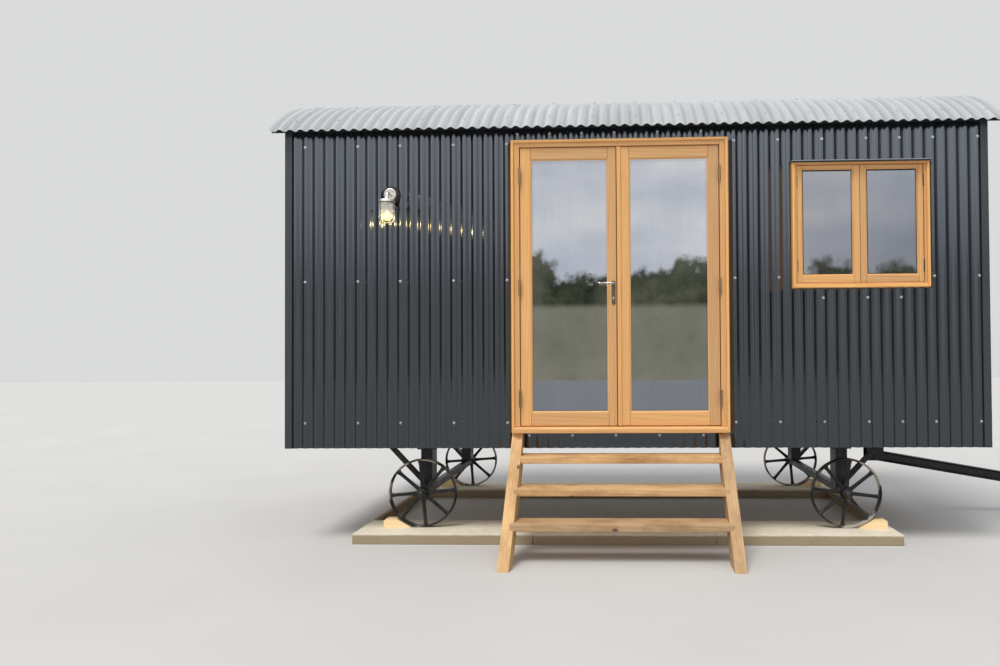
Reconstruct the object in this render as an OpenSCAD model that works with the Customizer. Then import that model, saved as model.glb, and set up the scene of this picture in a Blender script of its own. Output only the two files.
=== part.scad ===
// Shepherds hut: a corrugated-iron clad room with a bowed roof, glazed double
// doors, steps, cast wheels on slab strips and a drawbar. Millimetres, +Z up,
// the doors face -Y and the drawbar is at +X.

/* [Body] */
// Length over the corner trims
body_length = 4940; // [4200:20:6000]
// Width over the crests of the cladding
body_width = 2190; // [1900:10:2600]
// Ground to the lower edge of the cladding
skirt_height = 672; // [640:2:760]
// Thickness of the framed walls behind the cladding
wall_thickness = 75; // [50:5:120]
// Thickness of the floor
floor_thickness = 70; // [40:5:100]
// Depth of the floor frame under the floor
joist_depth = 80; // [60:5:100]
// Height of the wall plates under the roof
plate_height = 70; // [50:5:100]

/* [Cladding] */
// Distance from crest to crest of the corrugations
corrugation_pitch = 76.2; // [50:0.1:100]
// Depth of the corrugations over the sheet
corrugation_depth = 18; // [10:1:25]
// Thickness of the corrugated sheet
sheet_thickness = 1.2; // [0.6:0.1:3]
// Width of one leg of the corner trims
trim_width = 50; // [30:5:80]
// Thickness of the corner trims
trim_thickness = 3; // [1:0.5:5]

/* [Roof] */
// Ground to the lower edge of the roof sheet
eave_height = 2920; // [2900:5:3000]
// Rise of the roof from eave to crown
roof_rise = 460; // [380:10:560]
// Overhang past the long walls
eave_overhang = 80; // [50:5:120]
// Overhang past the end walls
verge_overhang = 83; // [50:1:150]
// Thickness of the roof boards
board_thickness = 15; // [9:1:25]
// Inset of the boards from the edge of the sheet
board_inset = 12; // [5:1:20]

/* [Doors] */
// Left side of the door frame, from the middle of the body
door_left = -843; // [-1000:2:-780]
// Width over the door frame
door_width = 1520; // [1400:2:1700]
// Ground to the underside of the threshold
threshold_height = 782; // [780:1:800]
// Eave down to the top of the door frame
door_head_drop = 80; // [60:1:160]
// Face width of the jambs
jamb_width = 58; // [40:1:80]
// Face height of the head
head_height = 48; // [36:1:80]
// Face width of the proud lining round the frame
lining_width = 20; // [10:1:30]
// Projection of the lining past the cladding
lining_proud = 40; // [30:1:60]
// Projection of the jamb face past the cladding
jamb_proud = 27; // [20:1:29]
// Thickness of the threshold
threshold_thickness = 43; // [35:1:60]
// Projection of the threshold past the cladding
threshold_proud = 60; // [45:1:90]
// Thickness of a door leaf
leaf_thickness = 44; // [36:1:56]
// Width of the left leaf
left_leaf_width = 676; // [600:2:700]
// Width of the stile at the hinge side
hinge_stile = 85; // [70:1:120]
// Width of the stile where the leaves meet
meeting_stile = 69; // [60:1:100]
// Width of the cover strip on the right leaf
cover_strip_width = 28; // [20:1:60]
// Thickness of the cover strip on the right leaf
cover_strip_thickness = 10; // [5:1:14]
// Height of the top rail
top_rail = 92; // [60:1:120]
// Height of the bottom rail
bottom_rail = 104; // [80:1:160]
// Thickness of the door glass
door_glass_thickness = 24; // [12:1:28]
// Clear gap round a leaf
leaf_gap = 5; // [5:0.5:8]
// Width of the rebate that the leaves close against
stop_width = 15; // [10:1:25]

/* [Door Fittings] */
// Height of a hinge
hinge_height = 105; // [80:1:140]
// Radius of a hinge knuckle
knuckle_radius = 8; // [6:0.5:9]
// Radius of a hinge pin
pin_radius = 4; // [3:0.5:5]
// Bottom of the leaf to the middle of the lowest hinge
hinge_bottom_inset = 191; // [120:1:300]
// Top of the leaf to the middle of the highest hinge
hinge_top_inset = 200; // [120:1:300]
// Bottom of the leaf to the lever spindle
lever_rise = 994; // [900:1:1100]
// Length of the lever from its spindle
lever_length = 113; // [90:1:130]
// Width of the handle plate
plate_width = 28; // [24:1:50]
// Height of the handle plate
plate_length = 169; // [140:1:240]

/* [Window] */
// Right side of the window frame to the end of the body
window_end_inset = 413; // [380:2:500]
// Width over the window frame
window_width = 939; // [800:5:1100]
// Eave down to the top of the window frame
window_head_drop = 263; // [240:5:500]
// Height over the window frame
window_height = 877; // [700:5:900]
// Face width of the window frame
window_frame_width = 34; // [25:1:60]
// Height of the window frame's head
window_head_height = 20; // [18:1:60]
// Face width of the lining round the window
window_lining_width = 18; // [10:1:24]
// Width of the outer stiles of the casements
casement_stile = 45; // [40:1:80]
// Width of the casement stiles that meet
casement_meeting_stile = 51; // [45:1:80]
// Height of the top rail of the casements
casement_top_rail = 30; // [25:1:80]
// Height of the bottom rail of the casements
casement_bottom_rail = 59; // [40:1:90]
// Thickness of the casements
casement_thickness = 52; // [40:1:60]
// Gap round the casements
casement_gap = 3; // [1:0.5:5]
// Thickness of the drip strip over the window
drip_thickness = 5; // [2:0.5:10]
// Projection of the drip strip past the cladding
drip_proud = 58; // [45:1:80]

/* [Wall Lamp] */
// Middle of the lamp to the left end of the body
lamp_end_inset = 770; // [300:5:1200]
// Eave down to the middle of the round box
lamp_drop = 452; // [300:1:900]
// Radius of the round block behind the box
lamp_block_radius = 66; // [60:1:80]
// Thickness of the round block behind the box
lamp_block_thickness = 14; // [10:1:25]
// Radius of the round box
lamp_box_radius = 46; // [35:1:60]
// Depth of the round box
lamp_box_depth = 28; // [25:1:50]
// Face of the cladding to the middle of the cage
lamp_reach = 108; // [100:1:160]
// Radius of the cap
lamp_cap_radius = 57; // [40:1:60]
// Height of the cap
lamp_cap_height = 18; // [12:1:30]
// Drop from the middle of the box to the underside of the cap
lamp_cap_drop = 74; // [50:1:90]
// Radius of the glass
lamp_glass_radius = 42; // [28:1:46]
// Length of the glass below the cap
lamp_glass_length = 124; // [90:1:145]
// Thickness of the glass
lamp_glass_thickness = 3; // [2:0.5:5]
// Radius of the cage
lamp_cage_radius = 51; // [42:1:56]
// Length of the cage below the cap
lamp_cage_length = 142; // [120:1:180]
// Thickness of the cage wire
lamp_wire = 5; // [4:0.5:6]

/* [Steps] */
// Width of a stringer
stringer_width = 75; // [50:1:90]
// Level width of a stringer along its slope
stringer_depth = 200; // [150:5:260]
// Foot of the stringer to the face of the cladding
stringer_run = 700; // [600:5:900]
// Thickness of a tread
tread_thickness = 48; // [35:1:60]
// Depth of a tread from front to back
tread_depth = 195; // [150:5:240]
// Ground to the top of the lowest tread
tread_bottom_height = 252; // [200:1:260]
// Height from tread to tread
tread_rise = 190; // [170:1:195]
// Overlap of one tread over the next, seen from above
tread_overlap = 15; // [5:1:40]
// Tread front past the face of the cladding, at the top tread
tread_top_run = 150; // [145:1:200]
// Depth of the housings in the stringers
housing_depth = 23; // [10:1:30]

/* [Wheels] */
// Radius of a wheel
wheel_radius = 248; // [220:1:260]
// Distance from the middle of the body to each axle
axle_distance = 1535; // [1400:5:1650]
// Distance between the middles of the wheels of one axle
wheel_track = 1770; // [1700:5:1790]
// Thickness of the rim
rim_thickness = 10; // [6:1:20]
// Width of the rim
rim_width = 60; // [40:1:80]
// Number of spokes
spoke_count = 8; // [6:1:12]
// Width of a spoke in the plane of the wheel
spoke_width = 26; // [16:1:34]
// Thickness of a spoke across the wheel
spoke_thickness = 16; // [10:1:24]
// Radius of a hub
hub_radius = 38; // [32:1:50]
// Length of a hub
hub_length = 110; // [80:2:130]
// Radius of the axle ends
stub_radius = 20; // [15:1:24]
// Length of the dome over a hub
hub_cap_length = 22; // [15:1:30]

/* [Running Gear] */
// Thickness of the square axles
axle_thickness = 50; // [45:1:60]
// Thickness of the posts on the axles, along the body
post_thickness = 85; // [60:1:110]
// Width of the posts on the axles, across the body
post_width = 140; // [100:5:180]
// Distance from the middle of the body to the middle of each post
post_distance = 710; // [680:5:715]
// Width of the long chassis rails
rail_width = 60; // [40:5:80]
// Thickness of a strut
strut_thickness = 30; // [20:1:45]
// Width of a strut, across the body
strut_width = 45; // [30:1:60]
// Reach of a strut from the post along the rail
strut_reach = 263; // [200:1:320]

/* [Drawbar] */
// Drawbar pin to the end of the body
drawbar_pin_inset = 442; // [380:2:500]
// Ground to the drawbar pin
drawbar_pin_height = 483; // [460:1:500]
// Slope of the drawbar when it rests on the ground
drawbar_slope = 9.8; // [9:0.1:11]
// Depth of the drawbar
drawbar_depth = 82; // [60:1:100]
// Width of the drawbar
drawbar_width = 80; // [60:1:100]
// Radius of the drawbar pin
drawbar_pin_radius = 15; // [10:1:20]
// Thickness of a bracket plate
bracket_thickness = 12; // [8:1:16]
// Length of a bracket plate along the body
bracket_length = 130; // [100:5:160]
// Drop of a bracket plate below the pin
bracket_drop = 42; // [35:1:60]
// Outer radius of the towing eye
eye_radius = 55; // [45:1:70]
// Radius of the hole in the towing eye
eye_hole_radius = 25; // [20:1:30]
// Thickness of the towing eye
eye_thickness = 30; // [20:1:40]
// Length of the neck between the drawbar and the towing eye
eye_neck_length = 60; // [40:1:100]

/* [Slabs And Chocks] */
// Length over the slab strips
plinth_length = 3840; // [3700:10:4000]
// Middle of the slab strips, from the middle of the body
plinth_place = -60; // [-120:10:40]
// Width of a slab strip
strip_width = 450; // [400:10:500]
// Thickness of the slab strips
strip_thickness = 75; // [50:1:90]
// Thickness of the boards that close the ends between the strips
end_board_thickness = 34; // [20:1:50]
// Length of a wheel chock
chock_length = 205; // [180:5:240]
// Height of a wheel chock
chock_height = 62; // [45:1:70]
// Width of a wheel chock
chock_width = 90; // [60:5:120]
// Gap between a wheel and its chock
chock_gap = 5; // [5:0.5:10]

/* [Hidden] */

$fn = 64;
// Small gap between flat neighbours that only rest on each other
seat_gap = 0.3;
// Running gap between a pin or stub and its hole
pin_gap = 0.3;
// Overrun of every cut
overrun = 5;
// Top of the corner trims under the top of the cladding
trim_drop = 12;
// Points along one corrugation
wave_steps = 8;

// Levels
joist_lift = 48;
floor_bottom = skirt_height + joist_lift;
floor_top = floor_bottom + floor_thickness;
rail_top = floor_bottom - seat_gap;
rail_bottom = rail_top - joist_depth;
wall_lift = 8;
wall_bottom = skirt_height + wall_lift;

// Body planes
crest_y = body_width / 2;
trim_stand = trim_thickness + seat_gap;
crest_x = body_length / 2 - trim_stand;
wall_out_y = crest_y - corrugation_depth - 2 * seat_gap;
wall_in_y = wall_out_y - wall_thickness;
wall_out_x = crest_x - corrugation_depth - 2 * seat_gap;
wall_in_x = wall_out_x - wall_thickness;

// Bowed roof: the sheet is an arc over the eaves
eave_y = crest_y + eave_overhang;
verge_x = body_length / 2 + verge_overhang;
roof_radius = (eave_y * eave_y + roof_rise * roof_rise) / (2 * roof_rise);
roof_centre_z = eave_height + roof_rise - roof_radius;
roof_half_angle = asin(eave_y / roof_radius);
sheet_in_radius = roof_radius - corrugation_depth / 2;
board_out_radius = sheet_in_radius - seat_gap;
board_in_radius = board_out_radius - board_thickness;
gable_radius = board_in_radius - seat_gap;
board_half_angle = asin((eave_y - board_inset) / roof_radius);
function arc_height(radius, y) = roof_centre_z + sqrt(radius * radius - y * y);
plate_top = arc_height(gable_radius, wall_out_y) - seat_gap;
plate_bottom = plate_top - plate_height;
cladding_top = arc_height(gable_radius, crest_y) - seat_gap;

// Door opening
door_right = door_left + door_width;
door_top = eave_height - door_head_drop;
threshold_top = threshold_height + threshold_thickness;
jamb_in_left = door_left + jamb_width;
jamb_in_right = door_right - jamb_width;
head_bottom = door_top - head_height;
leaf_bottom = threshold_top + leaf_gap;
leaf_top = head_bottom - leaf_gap;
left_leaf_x = jamb_in_left + leaf_gap;
right_leaf_x = left_leaf_x + left_leaf_width + leaf_gap;
right_leaf_width = jamb_in_right - leaf_gap - right_leaf_x;
jamb_front_y = -crest_y - jamb_proud;
lining_front_y = -crest_y - lining_proud;
leaf_setback = 12;
leaf_front_y = jamb_front_y + leaf_setback;
leaf_back_y = leaf_front_y + leaf_thickness;
stop_front_y = leaf_back_y + leaf_gap;
stop_back_y = -wall_in_y;
// Glass is seated in a groove round the opening
groove_depth = 12;

// Hinges: the pins stand in front of the gaps beside the leaves
hinge_y = jamb_front_y - knuckle_radius;
left_hinge_x = jamb_in_left + leaf_gap / 2;
right_hinge_x = jamb_in_right - leaf_gap / 2;
hinge_low = leaf_bottom + hinge_bottom_inset;
hinge_high = leaf_top - hinge_top_inset;
hinge_middle_share = 0.4965;
hinge_heights = [hinge_low, hinge_low + hinge_middle_share * (hinge_high - hinge_low), hinge_high];
knuckle_share = 0.3;
knuckle_gap = 1;
flap_thickness = 1.8;
flap_depth = 30;

// Handle
handle_inset = 21;
plate_thickness = 4;
plate_drop_share = 0.88;
lever_x = left_leaf_x + left_leaf_width - handle_inset;
lever_z = leaf_bottom + lever_rise;
spindle_radius = 7;
lever_radius = 8;
lever_stand = 42;
rose_radius = 11;
rose_depth = 8;
cylinder_drop = 107;
cylinder_radius = 8;
cylinder_depth = 6;

// Window
window_right = body_length / 2 - window_end_inset;
window_left = window_right - window_width;
window_top = eave_height - window_head_drop;
window_sill_height = window_top - window_height;
casement_left = window_left + window_frame_width;
casement_right = window_right - window_frame_width;
casement_bottom = window_sill_height + window_frame_width;
casement_top = window_top - window_head_height;
casement_middle = (casement_left + casement_right) / 2;
casement_proud = 14;
casement_front_y = -crest_y - casement_proud;
window_glass_thickness = 20;

// Lamp
lamp_place = lamp_end_inset - body_length / 2;
lamp_height = eave_height - lamp_drop;
lamp_block_front_y = -crest_y - seat_gap - lamp_block_thickness;
lamp_axis_y = -crest_y - lamp_reach;
lamp_cap_bottom = lamp_height - lamp_cap_drop;
lamp_cap_top = lamp_cap_bottom + lamp_cap_height;
lamp_arm_radius = 11;
lamp_cone_height = 16;
lamp_holder_radius = 15;
lamp_bulb_radius = 22;
lamp_bulb_share = 0.76;
lamp_bar_count = 4;
lamp_ring_share = 0.42;

// Steps
tread_going = tread_depth - tread_overlap;
stringer_top = threshold_height - seat_gap;
stringer_top_y = -crest_y - seat_gap;
stringer_foot_y = -crest_y - stringer_run;
stringer_slope = stringer_run / stringer_top;
stringer_cut_z = stringer_top - stringer_depth / stringer_slope;
tread_left = door_left + stringer_width - housing_depth;
tread_right = door_right - stringer_width + housing_depth;

// Wheels stand on the slab strips
wheel_z = strip_thickness + seat_gap + wheel_radius;
wheel_y = wheel_track / 2;
spoke_inset = 2;
spoke_turns = [5, -7, 4, 5];
hub_cap_radius = 28;
hub_side_gap = 2;
axle_half_length = wheel_y - hub_length / 2 - hub_side_gap;
stub_end = wheel_y + hub_length / 2 - hub_side_gap;
post_bottom = wheel_z + axle_thickness / 2;
cross_member_width = 60;
cross_member_height = 60;
cross_member_shares = [-1, -0.5, 0, 0.5, 1];
rail_y = post_distance;
rail_end_gap = 40;
rail_half_length = wall_in_x - rail_end_gap;

// The chock's slope lies along the wheel, one gap away
chock_angle = acos((wheel_radius - chock_height / 2) / wheel_radius);
chock_start = (wheel_radius + chock_gap - wheel_radius * cos(chock_angle)) / sin(chock_angle);
chock_top_start = chock_start + chock_height / tan(chock_angle);

// Drawbar
drawbar_pin_x = body_length / 2 - drawbar_pin_inset;
bracket_gap = 6;
bracket_in_y = drawbar_width / 2 + bracket_gap;
bracket_top = rail_top - cross_member_height;
pin_head_radius = 24;
pin_head_length = 12;
drawbar_tail = 55;
eye_low_reach = eye_thickness / 2 * cos(drawbar_slope) + eye_radius * sin(drawbar_slope);
eye_distance = (drawbar_pin_height - seat_gap - eye_low_reach) / sin(drawbar_slope);
drawbar_length = eye_distance - eye_radius - eye_neck_length;
eye_reach_x = drawbar_pin_x + eye_distance * cos(drawbar_slope)
    + eye_radius * cos(drawbar_slope) + eye_thickness / 2 * sin(drawbar_slope);
eye_neck_width = 50;

// Slabs
strip_stand = 230;
strip_out_y = wheel_y + strip_stand;
strip_in_y = strip_out_y - strip_width;
plinth_half_length = plinth_length / 2;

// The frame's origin is the middle of the whole footprint, on the ground
left_reach = verge_x;
shift_x = (left_reach - eye_reach_x) / 2;
roof_reach_y = (roof_radius + corrugation_depth / 2) * sin(roof_half_angle);
shift_y = (crest_y + stringer_run - roof_reach_y) / 2;

anthracite = [0.19, 0.20, 0.22];
pale_grey = [0.80, 0.80, 0.79];
trim_grey = [0.36, 0.37, 0.39];
oak = [0.80, 0.58, 0.32];
step_oak = [0.83, 0.66, 0.43];
framing = [0.72, 0.60, 0.45];
black_iron = [0.06, 0.06, 0.07];
steel = [0.72, 0.72, 0.72];
pane = [0.62, 0.70, 0.74, 0.4];
slab_grey = [0.72, 0.69, 0.63];
chock_wood = [0.82, 0.58, 0.36];
warm_light = [1.0, 0.85, 0.55];

// Carries a piece from the hut's middle to the frame's origin
module placed() {
    translate([shift_x, shift_y, 0]) children();
}

// A box from its low corner to its high corner
module block(low, high) {
    translate(low) cube(high - low);
}

// Both long sides, or both ends, of a piece
module both_y() {
    children();
    mirror([0, 1, 0]) children();
}

module both_x() {
    children();
    mirror([1, 0, 0]) children();
}

// Wave of a sheet, with a valley at the middle and the crests outward
function wave(s) = -cos(360 * s / corrugation_pitch) * (corrugation_depth - sheet_thickness) / 2;

function wave_points(first, last, side) =
    let (count = ceil((last - first) / corrugation_pitch * wave_steps))
    [for (i = [0 : count]) let (s = first + (last - first) * i / count)
        [s, wave(s) + side * sheet_thickness / 2]];

// Highest point of a sheet between two places, with a seat on it
function sheet_high(first, last) =
    max([for (i = [0 : wave_steps]) wave(first + (last - first) * i / wave_steps)])
        + sheet_thickness / 2 + 2 * seat_gap;

function turned(points) = [for (i = [len(points) - 1 : -1 : 0]) points[i]];

module wave_outline(first, last) {
    polygon(concat(wave_points(first, last, -1), turned(wave_points(first, last, 1))));
}

// Upright corrugated sheet on the front, crests towards -Y
module front_sheet(first, last, low, high) {
    translate([0, -crest_y + corrugation_depth / 2, low])
        mirror([0, 1, 0])
            linear_extrude(high - low) wave_outline(first, last);
}

// Turns a shape drawn round a Z axis into one round the roof's long axis
module along_roof() {
    translate([0, 0, roof_centre_z]) rotate([90, 0, 90]) children();
}

module roof_arc(half_angle) {
    along_roof() rotate([0, 0, 90 - half_angle]) rotate_extrude(angle = 2 * half_angle, $fn = 180) children();
}

module under_roof(radius) {
    along_roof() cylinder(r = radius, h = 2 * verge_x, center = true, $fn = 180);
}

module plinth_long_strips() {
    color(slab_grey) placed() translate([plinth_place, 0, 0]) both_y()
        block([-plinth_half_length, strip_in_y, 0], [plinth_half_length, strip_out_y, strip_thickness]);
}

module plinth_end_boards() {
    color(chock_wood) placed() translate([plinth_place, 0, 0]) both_x()
        block([plinth_half_length - end_board_thickness, -strip_in_y, 0],
            [plinth_half_length, strip_in_y, strip_thickness]);
}

module wheel_chocks() {
    color(chock_wood) placed() both_x() both_y()
        translate([axle_distance, wheel_y + chock_width / 2, strip_thickness])
            rotate([90, 0, 0]) linear_extrude(chock_width)
                polygon([
                    [chock_start, 0],
                    [chock_start + chock_length, 0],
                    [chock_start + chock_length, chock_height],
                    [chock_top_start, chock_height]
                ]);
}

module chassis_rails() {
    color(black_iron) placed() both_y()
        block([-rail_half_length, rail_y - rail_width / 2, rail_bottom],
            [rail_half_length, rail_y + rail_width / 2, rail_top]);
}

module chassis_cross_members() {
    inner_y = rail_y - rail_width / 2;
    reach = rail_half_length - cross_member_width / 2;
    color(black_iron) placed() {
        for (share = cross_member_shares)
            block([share * reach - cross_member_width / 2, -inner_y, rail_top - cross_member_height],
                [share * reach + cross_member_width / 2, inner_y, rail_top]);
        block([drawbar_pin_x - bracket_length / 2, -inner_y, rail_top - cross_member_height],
            [drawbar_pin_x + bracket_length / 2, inner_y, rail_top]);
    }
}

module axle_beam(x) {
    half = axle_thickness / 2;
    translate([x, 0, 0]) {
        block([-half, -axle_half_length, wheel_z - half], [half, axle_half_length, wheel_z + half]);
        translate([0, 0, wheel_z]) rotate([90, 0, 0])
            cylinder(r = stub_radius, h = 2 * stub_end, center = true);
        both_y() block([-post_thickness / 2, post_distance - post_width / 2, post_bottom],
            [post_thickness / 2, post_distance + post_width / 2, rail_bottom - seat_gap]);
    }
}

module left_axle_beam() {
    color(black_iron) placed() axle_beam(-axle_distance);
}

module right_axle_beam() {
    color(black_iron) placed() axle_beam(axle_distance);
}

module axle_struts() {
    low_x = axle_distance + post_thickness / 2 + seat_gap;
    high_z = rail_bottom - seat_gap;
    low_z = post_bottom + axle_thickness / 4;
    slope = (high_z - low_z) / strut_reach;
    foot = strut_thickness * sqrt(1 + slope * slope);
    color(black_iron) placed() both_x() both_y()
        translate([low_x, rail_y + strut_width / 2, 0]) rotate([90, 0, 0])
            linear_extrude(strut_width)
                polygon([
                    [0, low_z],
                    [strut_reach, high_z],
                    [strut_reach - foot / slope, high_z],
                    [0, low_z + foot]
                ]);
}

module drawbar_bracket() {
    color(black_iron) placed() translate([drawbar_pin_x, 0, 0]) {
        both_y() block([-bracket_length / 2, bracket_in_y, drawbar_pin_height - bracket_drop],
            [bracket_length / 2, bracket_in_y + bracket_thickness, bracket_top - seat_gap]);
        translate([0, 0, drawbar_pin_height]) rotate([90, 0, 0])
            cylinder(r = drawbar_pin_radius, h = 2 * (bracket_in_y + bracket_thickness), center = true);
        both_y() translate([0, bracket_in_y + bracket_thickness, drawbar_pin_height])
            rotate([-90, 0, 0]) cylinder(r = pin_head_radius, h = pin_head_length);
    }
}

module floor() {
    color(framing) placed()
        block([-wall_in_x, -wall_in_y, floor_bottom], [wall_in_x, wall_in_y, floor_top]);
}

module front_wall_left() {
    color(framing) placed()
        block([-wall_out_x, -wall_out_y, wall_bottom], [door_left, -wall_in_y, plate_bottom]);
}

module front_wall_right() {
    color(framing) placed() difference() {
        block([door_right, -wall_out_y, wall_bottom], [wall_out_x, -wall_in_y, plate_bottom]);
        window_hole();
    }
}

module window_hole() {
    block([window_left, -crest_y - overrun, window_sill_height],
        [window_right, -wall_in_y + overrun, window_top]);
}

module front_wall_at_door() {
    color(framing) placed() {
        block([door_left, -wall_out_y, wall_bottom], [door_right, -wall_in_y, threshold_height]);
        block([door_left, -wall_out_y, door_top], [door_right, -wall_in_y, plate_bottom]);
    }
}

module rear_wall() {
    color(framing) placed()
        block([-wall_out_x, wall_in_y, wall_bottom], [wall_out_x, wall_out_y, plate_bottom]);
}

module end_wall() {
    intersection() {
        block([wall_in_x, -wall_in_y, wall_bottom], [wall_out_x, wall_in_y, eave_height + roof_rise]);
        under_roof(gable_radius);
    }
}

module left_end_wall() {
    color(framing) placed() mirror([1, 0, 0]) end_wall();
}

module right_end_wall() {
    color(framing) placed() end_wall();
}

module wall_plates() {
    color(framing) placed() both_y()
        block([-wall_out_x, wall_in_y, plate_bottom], [wall_out_x, wall_out_y, plate_top]);
}

module front_cladding_left() {
    color(anthracite) placed()
        front_sheet(-crest_x + corrugation_depth, door_left, skirt_height, cladding_top);
}

module front_cladding_right() {
    color(anthracite) placed() difference() {
        front_sheet(door_right, crest_x - corrugation_depth, skirt_height, cladding_top);
        window_hole();
    }
}

module front_cladding_at_door() {
    color(anthracite) placed() {
        front_sheet(door_left, door_right, skirt_height, threshold_height);
        front_sheet(door_left, door_right, door_top, cladding_top);
    }
}

module rear_cladding() {
    color(anthracite) placed() mirror([0, 1, 0])
        front_sheet(-crest_x + corrugation_depth, crest_x - corrugation_depth, skirt_height, cladding_top);
}

module end_claddings() {
    half = crest_y - corrugation_depth;
    color(anthracite) placed() both_x() intersection() {
        translate([crest_x - corrugation_depth / 2, 0, skirt_height]) rotate([0, 0, -90])
            linear_extrude(eave_height + roof_rise - skirt_height) wave_outline(-half, half);
        under_roof(gable_radius);
    }
}

// Each leg of a corner trim ends in a lip that comes down to the sheet
module corner_trims() {
    out_x = body_length / 2;
    out_y = crest_y + trim_stand;
    lip_x = crest_x - corrugation_depth / 2 + sheet_high(out_y - trim_width, out_y - trim_width + trim_thickness);
    lip_y = crest_y - corrugation_depth / 2 + sheet_high(out_x - trim_width, out_x - trim_width + trim_thickness);
    color(trim_grey) placed() both_x() both_y()
        translate([0, 0, skirt_height]) linear_extrude(cladding_top - seat_gap - trim_drop - skirt_height)
            polygon([
                [out_x, out_y],
                [out_x - trim_width, out_y],
                [out_x - trim_width, lip_y],
                [out_x - trim_width + trim_thickness, lip_y],
                [out_x - trim_width + trim_thickness, out_y - trim_thickness],
                [out_x - trim_thickness, out_y - trim_thickness],
                [out_x - trim_thickness, out_y - trim_width + trim_thickness],
                [lip_x, out_y - trim_width + trim_thickness],
                [lip_x, out_y - trim_width],
                [out_x, out_y - trim_width]
            ]);
}

module roof_boards() {
    color(framing) placed() roof_arc(board_half_angle)
        translate([board_in_radius, -verge_x + board_inset])
            square([board_thickness, 2 * (verge_x - board_inset)]);
}

module roof_sheet() {
    color(pale_grey) placed() roof_arc(roof_half_angle)
        translate([roof_radius, 0]) rotate([0, 0, 90]) mirror([0, 1, 0])
            wave_outline(-verge_x, verge_x);
}

// Plan of the left jamb: lining, face, rebate and stop
module jamb_plan() {
    polygon([
        [0, lining_front_y],
        [lining_width, lining_front_y],
        [lining_width, jamb_front_y],
        [jamb_width, jamb_front_y],
        [jamb_width, stop_front_y],
        [jamb_width + stop_width, stop_front_y],
        [jamb_width + stop_width, stop_back_y],
        [0, stop_back_y]
    ]);
}

module door_jambs() {
    color(oak) placed() {
        translate([door_left, 0, threshold_top]) linear_extrude(head_bottom - threshold_top) jamb_plan();
        translate([door_right, 0, threshold_top]) mirror([1, 0, 0])
            linear_extrude(head_bottom - threshold_top) jamb_plan();
        // The linings run down past the ends of the threshold
        block([door_left, lining_front_y, threshold_height], [door_left + lining_width, stop_back_y, threshold_top]);
        block([door_right - lining_width, lining_front_y, threshold_height], [door_right, stop_back_y, threshold_top]);
    }
}

module door_head() {
    color(oak) placed() {
        block([door_left, jamb_front_y, head_bottom], [door_right, stop_back_y, door_top]);
        block([door_left, lining_front_y, head_bottom], [door_left + lining_width, jamb_front_y, door_top]);
        block([door_right - lining_width, lining_front_y, head_bottom], [door_right, jamb_front_y, door_top]);
        block([door_left, lining_front_y, door_top - lining_width], [door_right, jamb_front_y, door_top]);
        block([jamb_in_left + stop_width, stop_front_y, head_bottom - stop_width],
            [jamb_in_right - stop_width, stop_back_y, head_bottom]);
    }
}

module door_threshold() {
    color(oak) placed()
        block([door_left + lining_width, -crest_y - threshold_proud, threshold_height],
            [door_right - lining_width, stop_back_y, threshold_top]);
}

// Fixed knuckles, pin and jamb flap of one hinge; the moving knuckle fits between
module fixed_hinge() {
    end_length = hinge_height * knuckle_share;
    for (low = [-hinge_height / 2, hinge_height / 2 - end_length])
        translate([0, hinge_y, low]) cylinder(r = knuckle_radius, h = end_length);
    translate([0, hinge_y, 0]) cylinder(r = pin_radius, h = hinge_height - overrun, center = true);
    block([-leaf_gap / 2, hinge_y, -hinge_height / 2],
        [-leaf_gap / 2 + flap_thickness, hinge_y + flap_depth, -hinge_height / 2 + end_length]);
    block([-leaf_gap / 2, hinge_y, hinge_height / 2 - end_length],
        [-leaf_gap / 2 + flap_thickness, hinge_y + flap_depth, hinge_height / 2]);
}

// Moving knuckle and leaf flap of one hinge
module moving_hinge() {
    length = hinge_height * (1 - 2 * knuckle_share) - 2 * knuckle_gap;
    difference() {
        union() {
            translate([0, hinge_y, 0]) cylinder(r = knuckle_radius, h = length, center = true);
            block([leaf_gap / 2 - flap_thickness, hinge_y, -length / 2],
                [leaf_gap / 2, hinge_y + flap_depth, length / 2]);
        }
        translate([0, hinge_y, 0]) cylinder(r = pin_radius + pin_gap, h = length + overrun, center = true);
    }
}

module door_hinge_knuckles() {
    color(steel) placed() for (z = hinge_heights) {
        translate([left_hinge_x, 0, z]) fixed_hinge();
        translate([right_hinge_x, 0, z]) mirror([1, 0, 0]) fixed_hinge();
    }
}

module left_door_flaps() {
    color(steel) placed() for (z = hinge_heights)
        translate([left_hinge_x, 0, z]) moving_hinge();
}

module right_door_flaps() {
    color(steel) placed() for (z = hinge_heights)
        translate([right_hinge_x, 0, z]) mirror([1, 0, 0]) moving_hinge();
}

// A framed leaf with a grooved opening for its glass
module framed_leaf(low, high, left, right, bottom, top, front, back, glass_thickness) {
    middle = (front + back) / 2;
    difference() {
        block([low[0], front, low[1]], [high[0], back, high[1]]);
        block([low[0] + left, front - overrun, low[1] + bottom], [high[0] - right, back + overrun, high[1] - top]);
        block([low[0] + left - groove_depth, middle - glass_thickness / 2, low[1] + bottom - groove_depth],
            [high[0] - right + groove_depth, middle + glass_thickness / 2, high[1] - top + groove_depth]);
    }
}

module framed_glass(low, high, left, right, bottom, top, front, back, glass_thickness) {
    middle = (front + back) / 2;
    edge = groove_depth - seat_gap;
    half = glass_thickness / 2 - seat_gap;
    block([low[0] + left - edge, middle - half, low[1] + bottom - edge],
        [high[0] - right + edge, middle + half, high[1] - top + edge]);
}

left_leaf_low = [left_leaf_x, leaf_bottom];
left_leaf_high = [left_leaf_x + left_leaf_width, leaf_top];
right_leaf_low = [right_leaf_x, leaf_bottom];
right_leaf_high = [right_leaf_x + right_leaf_width, leaf_top];
cover_stile = meeting_stile + cover_strip_width;

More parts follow.
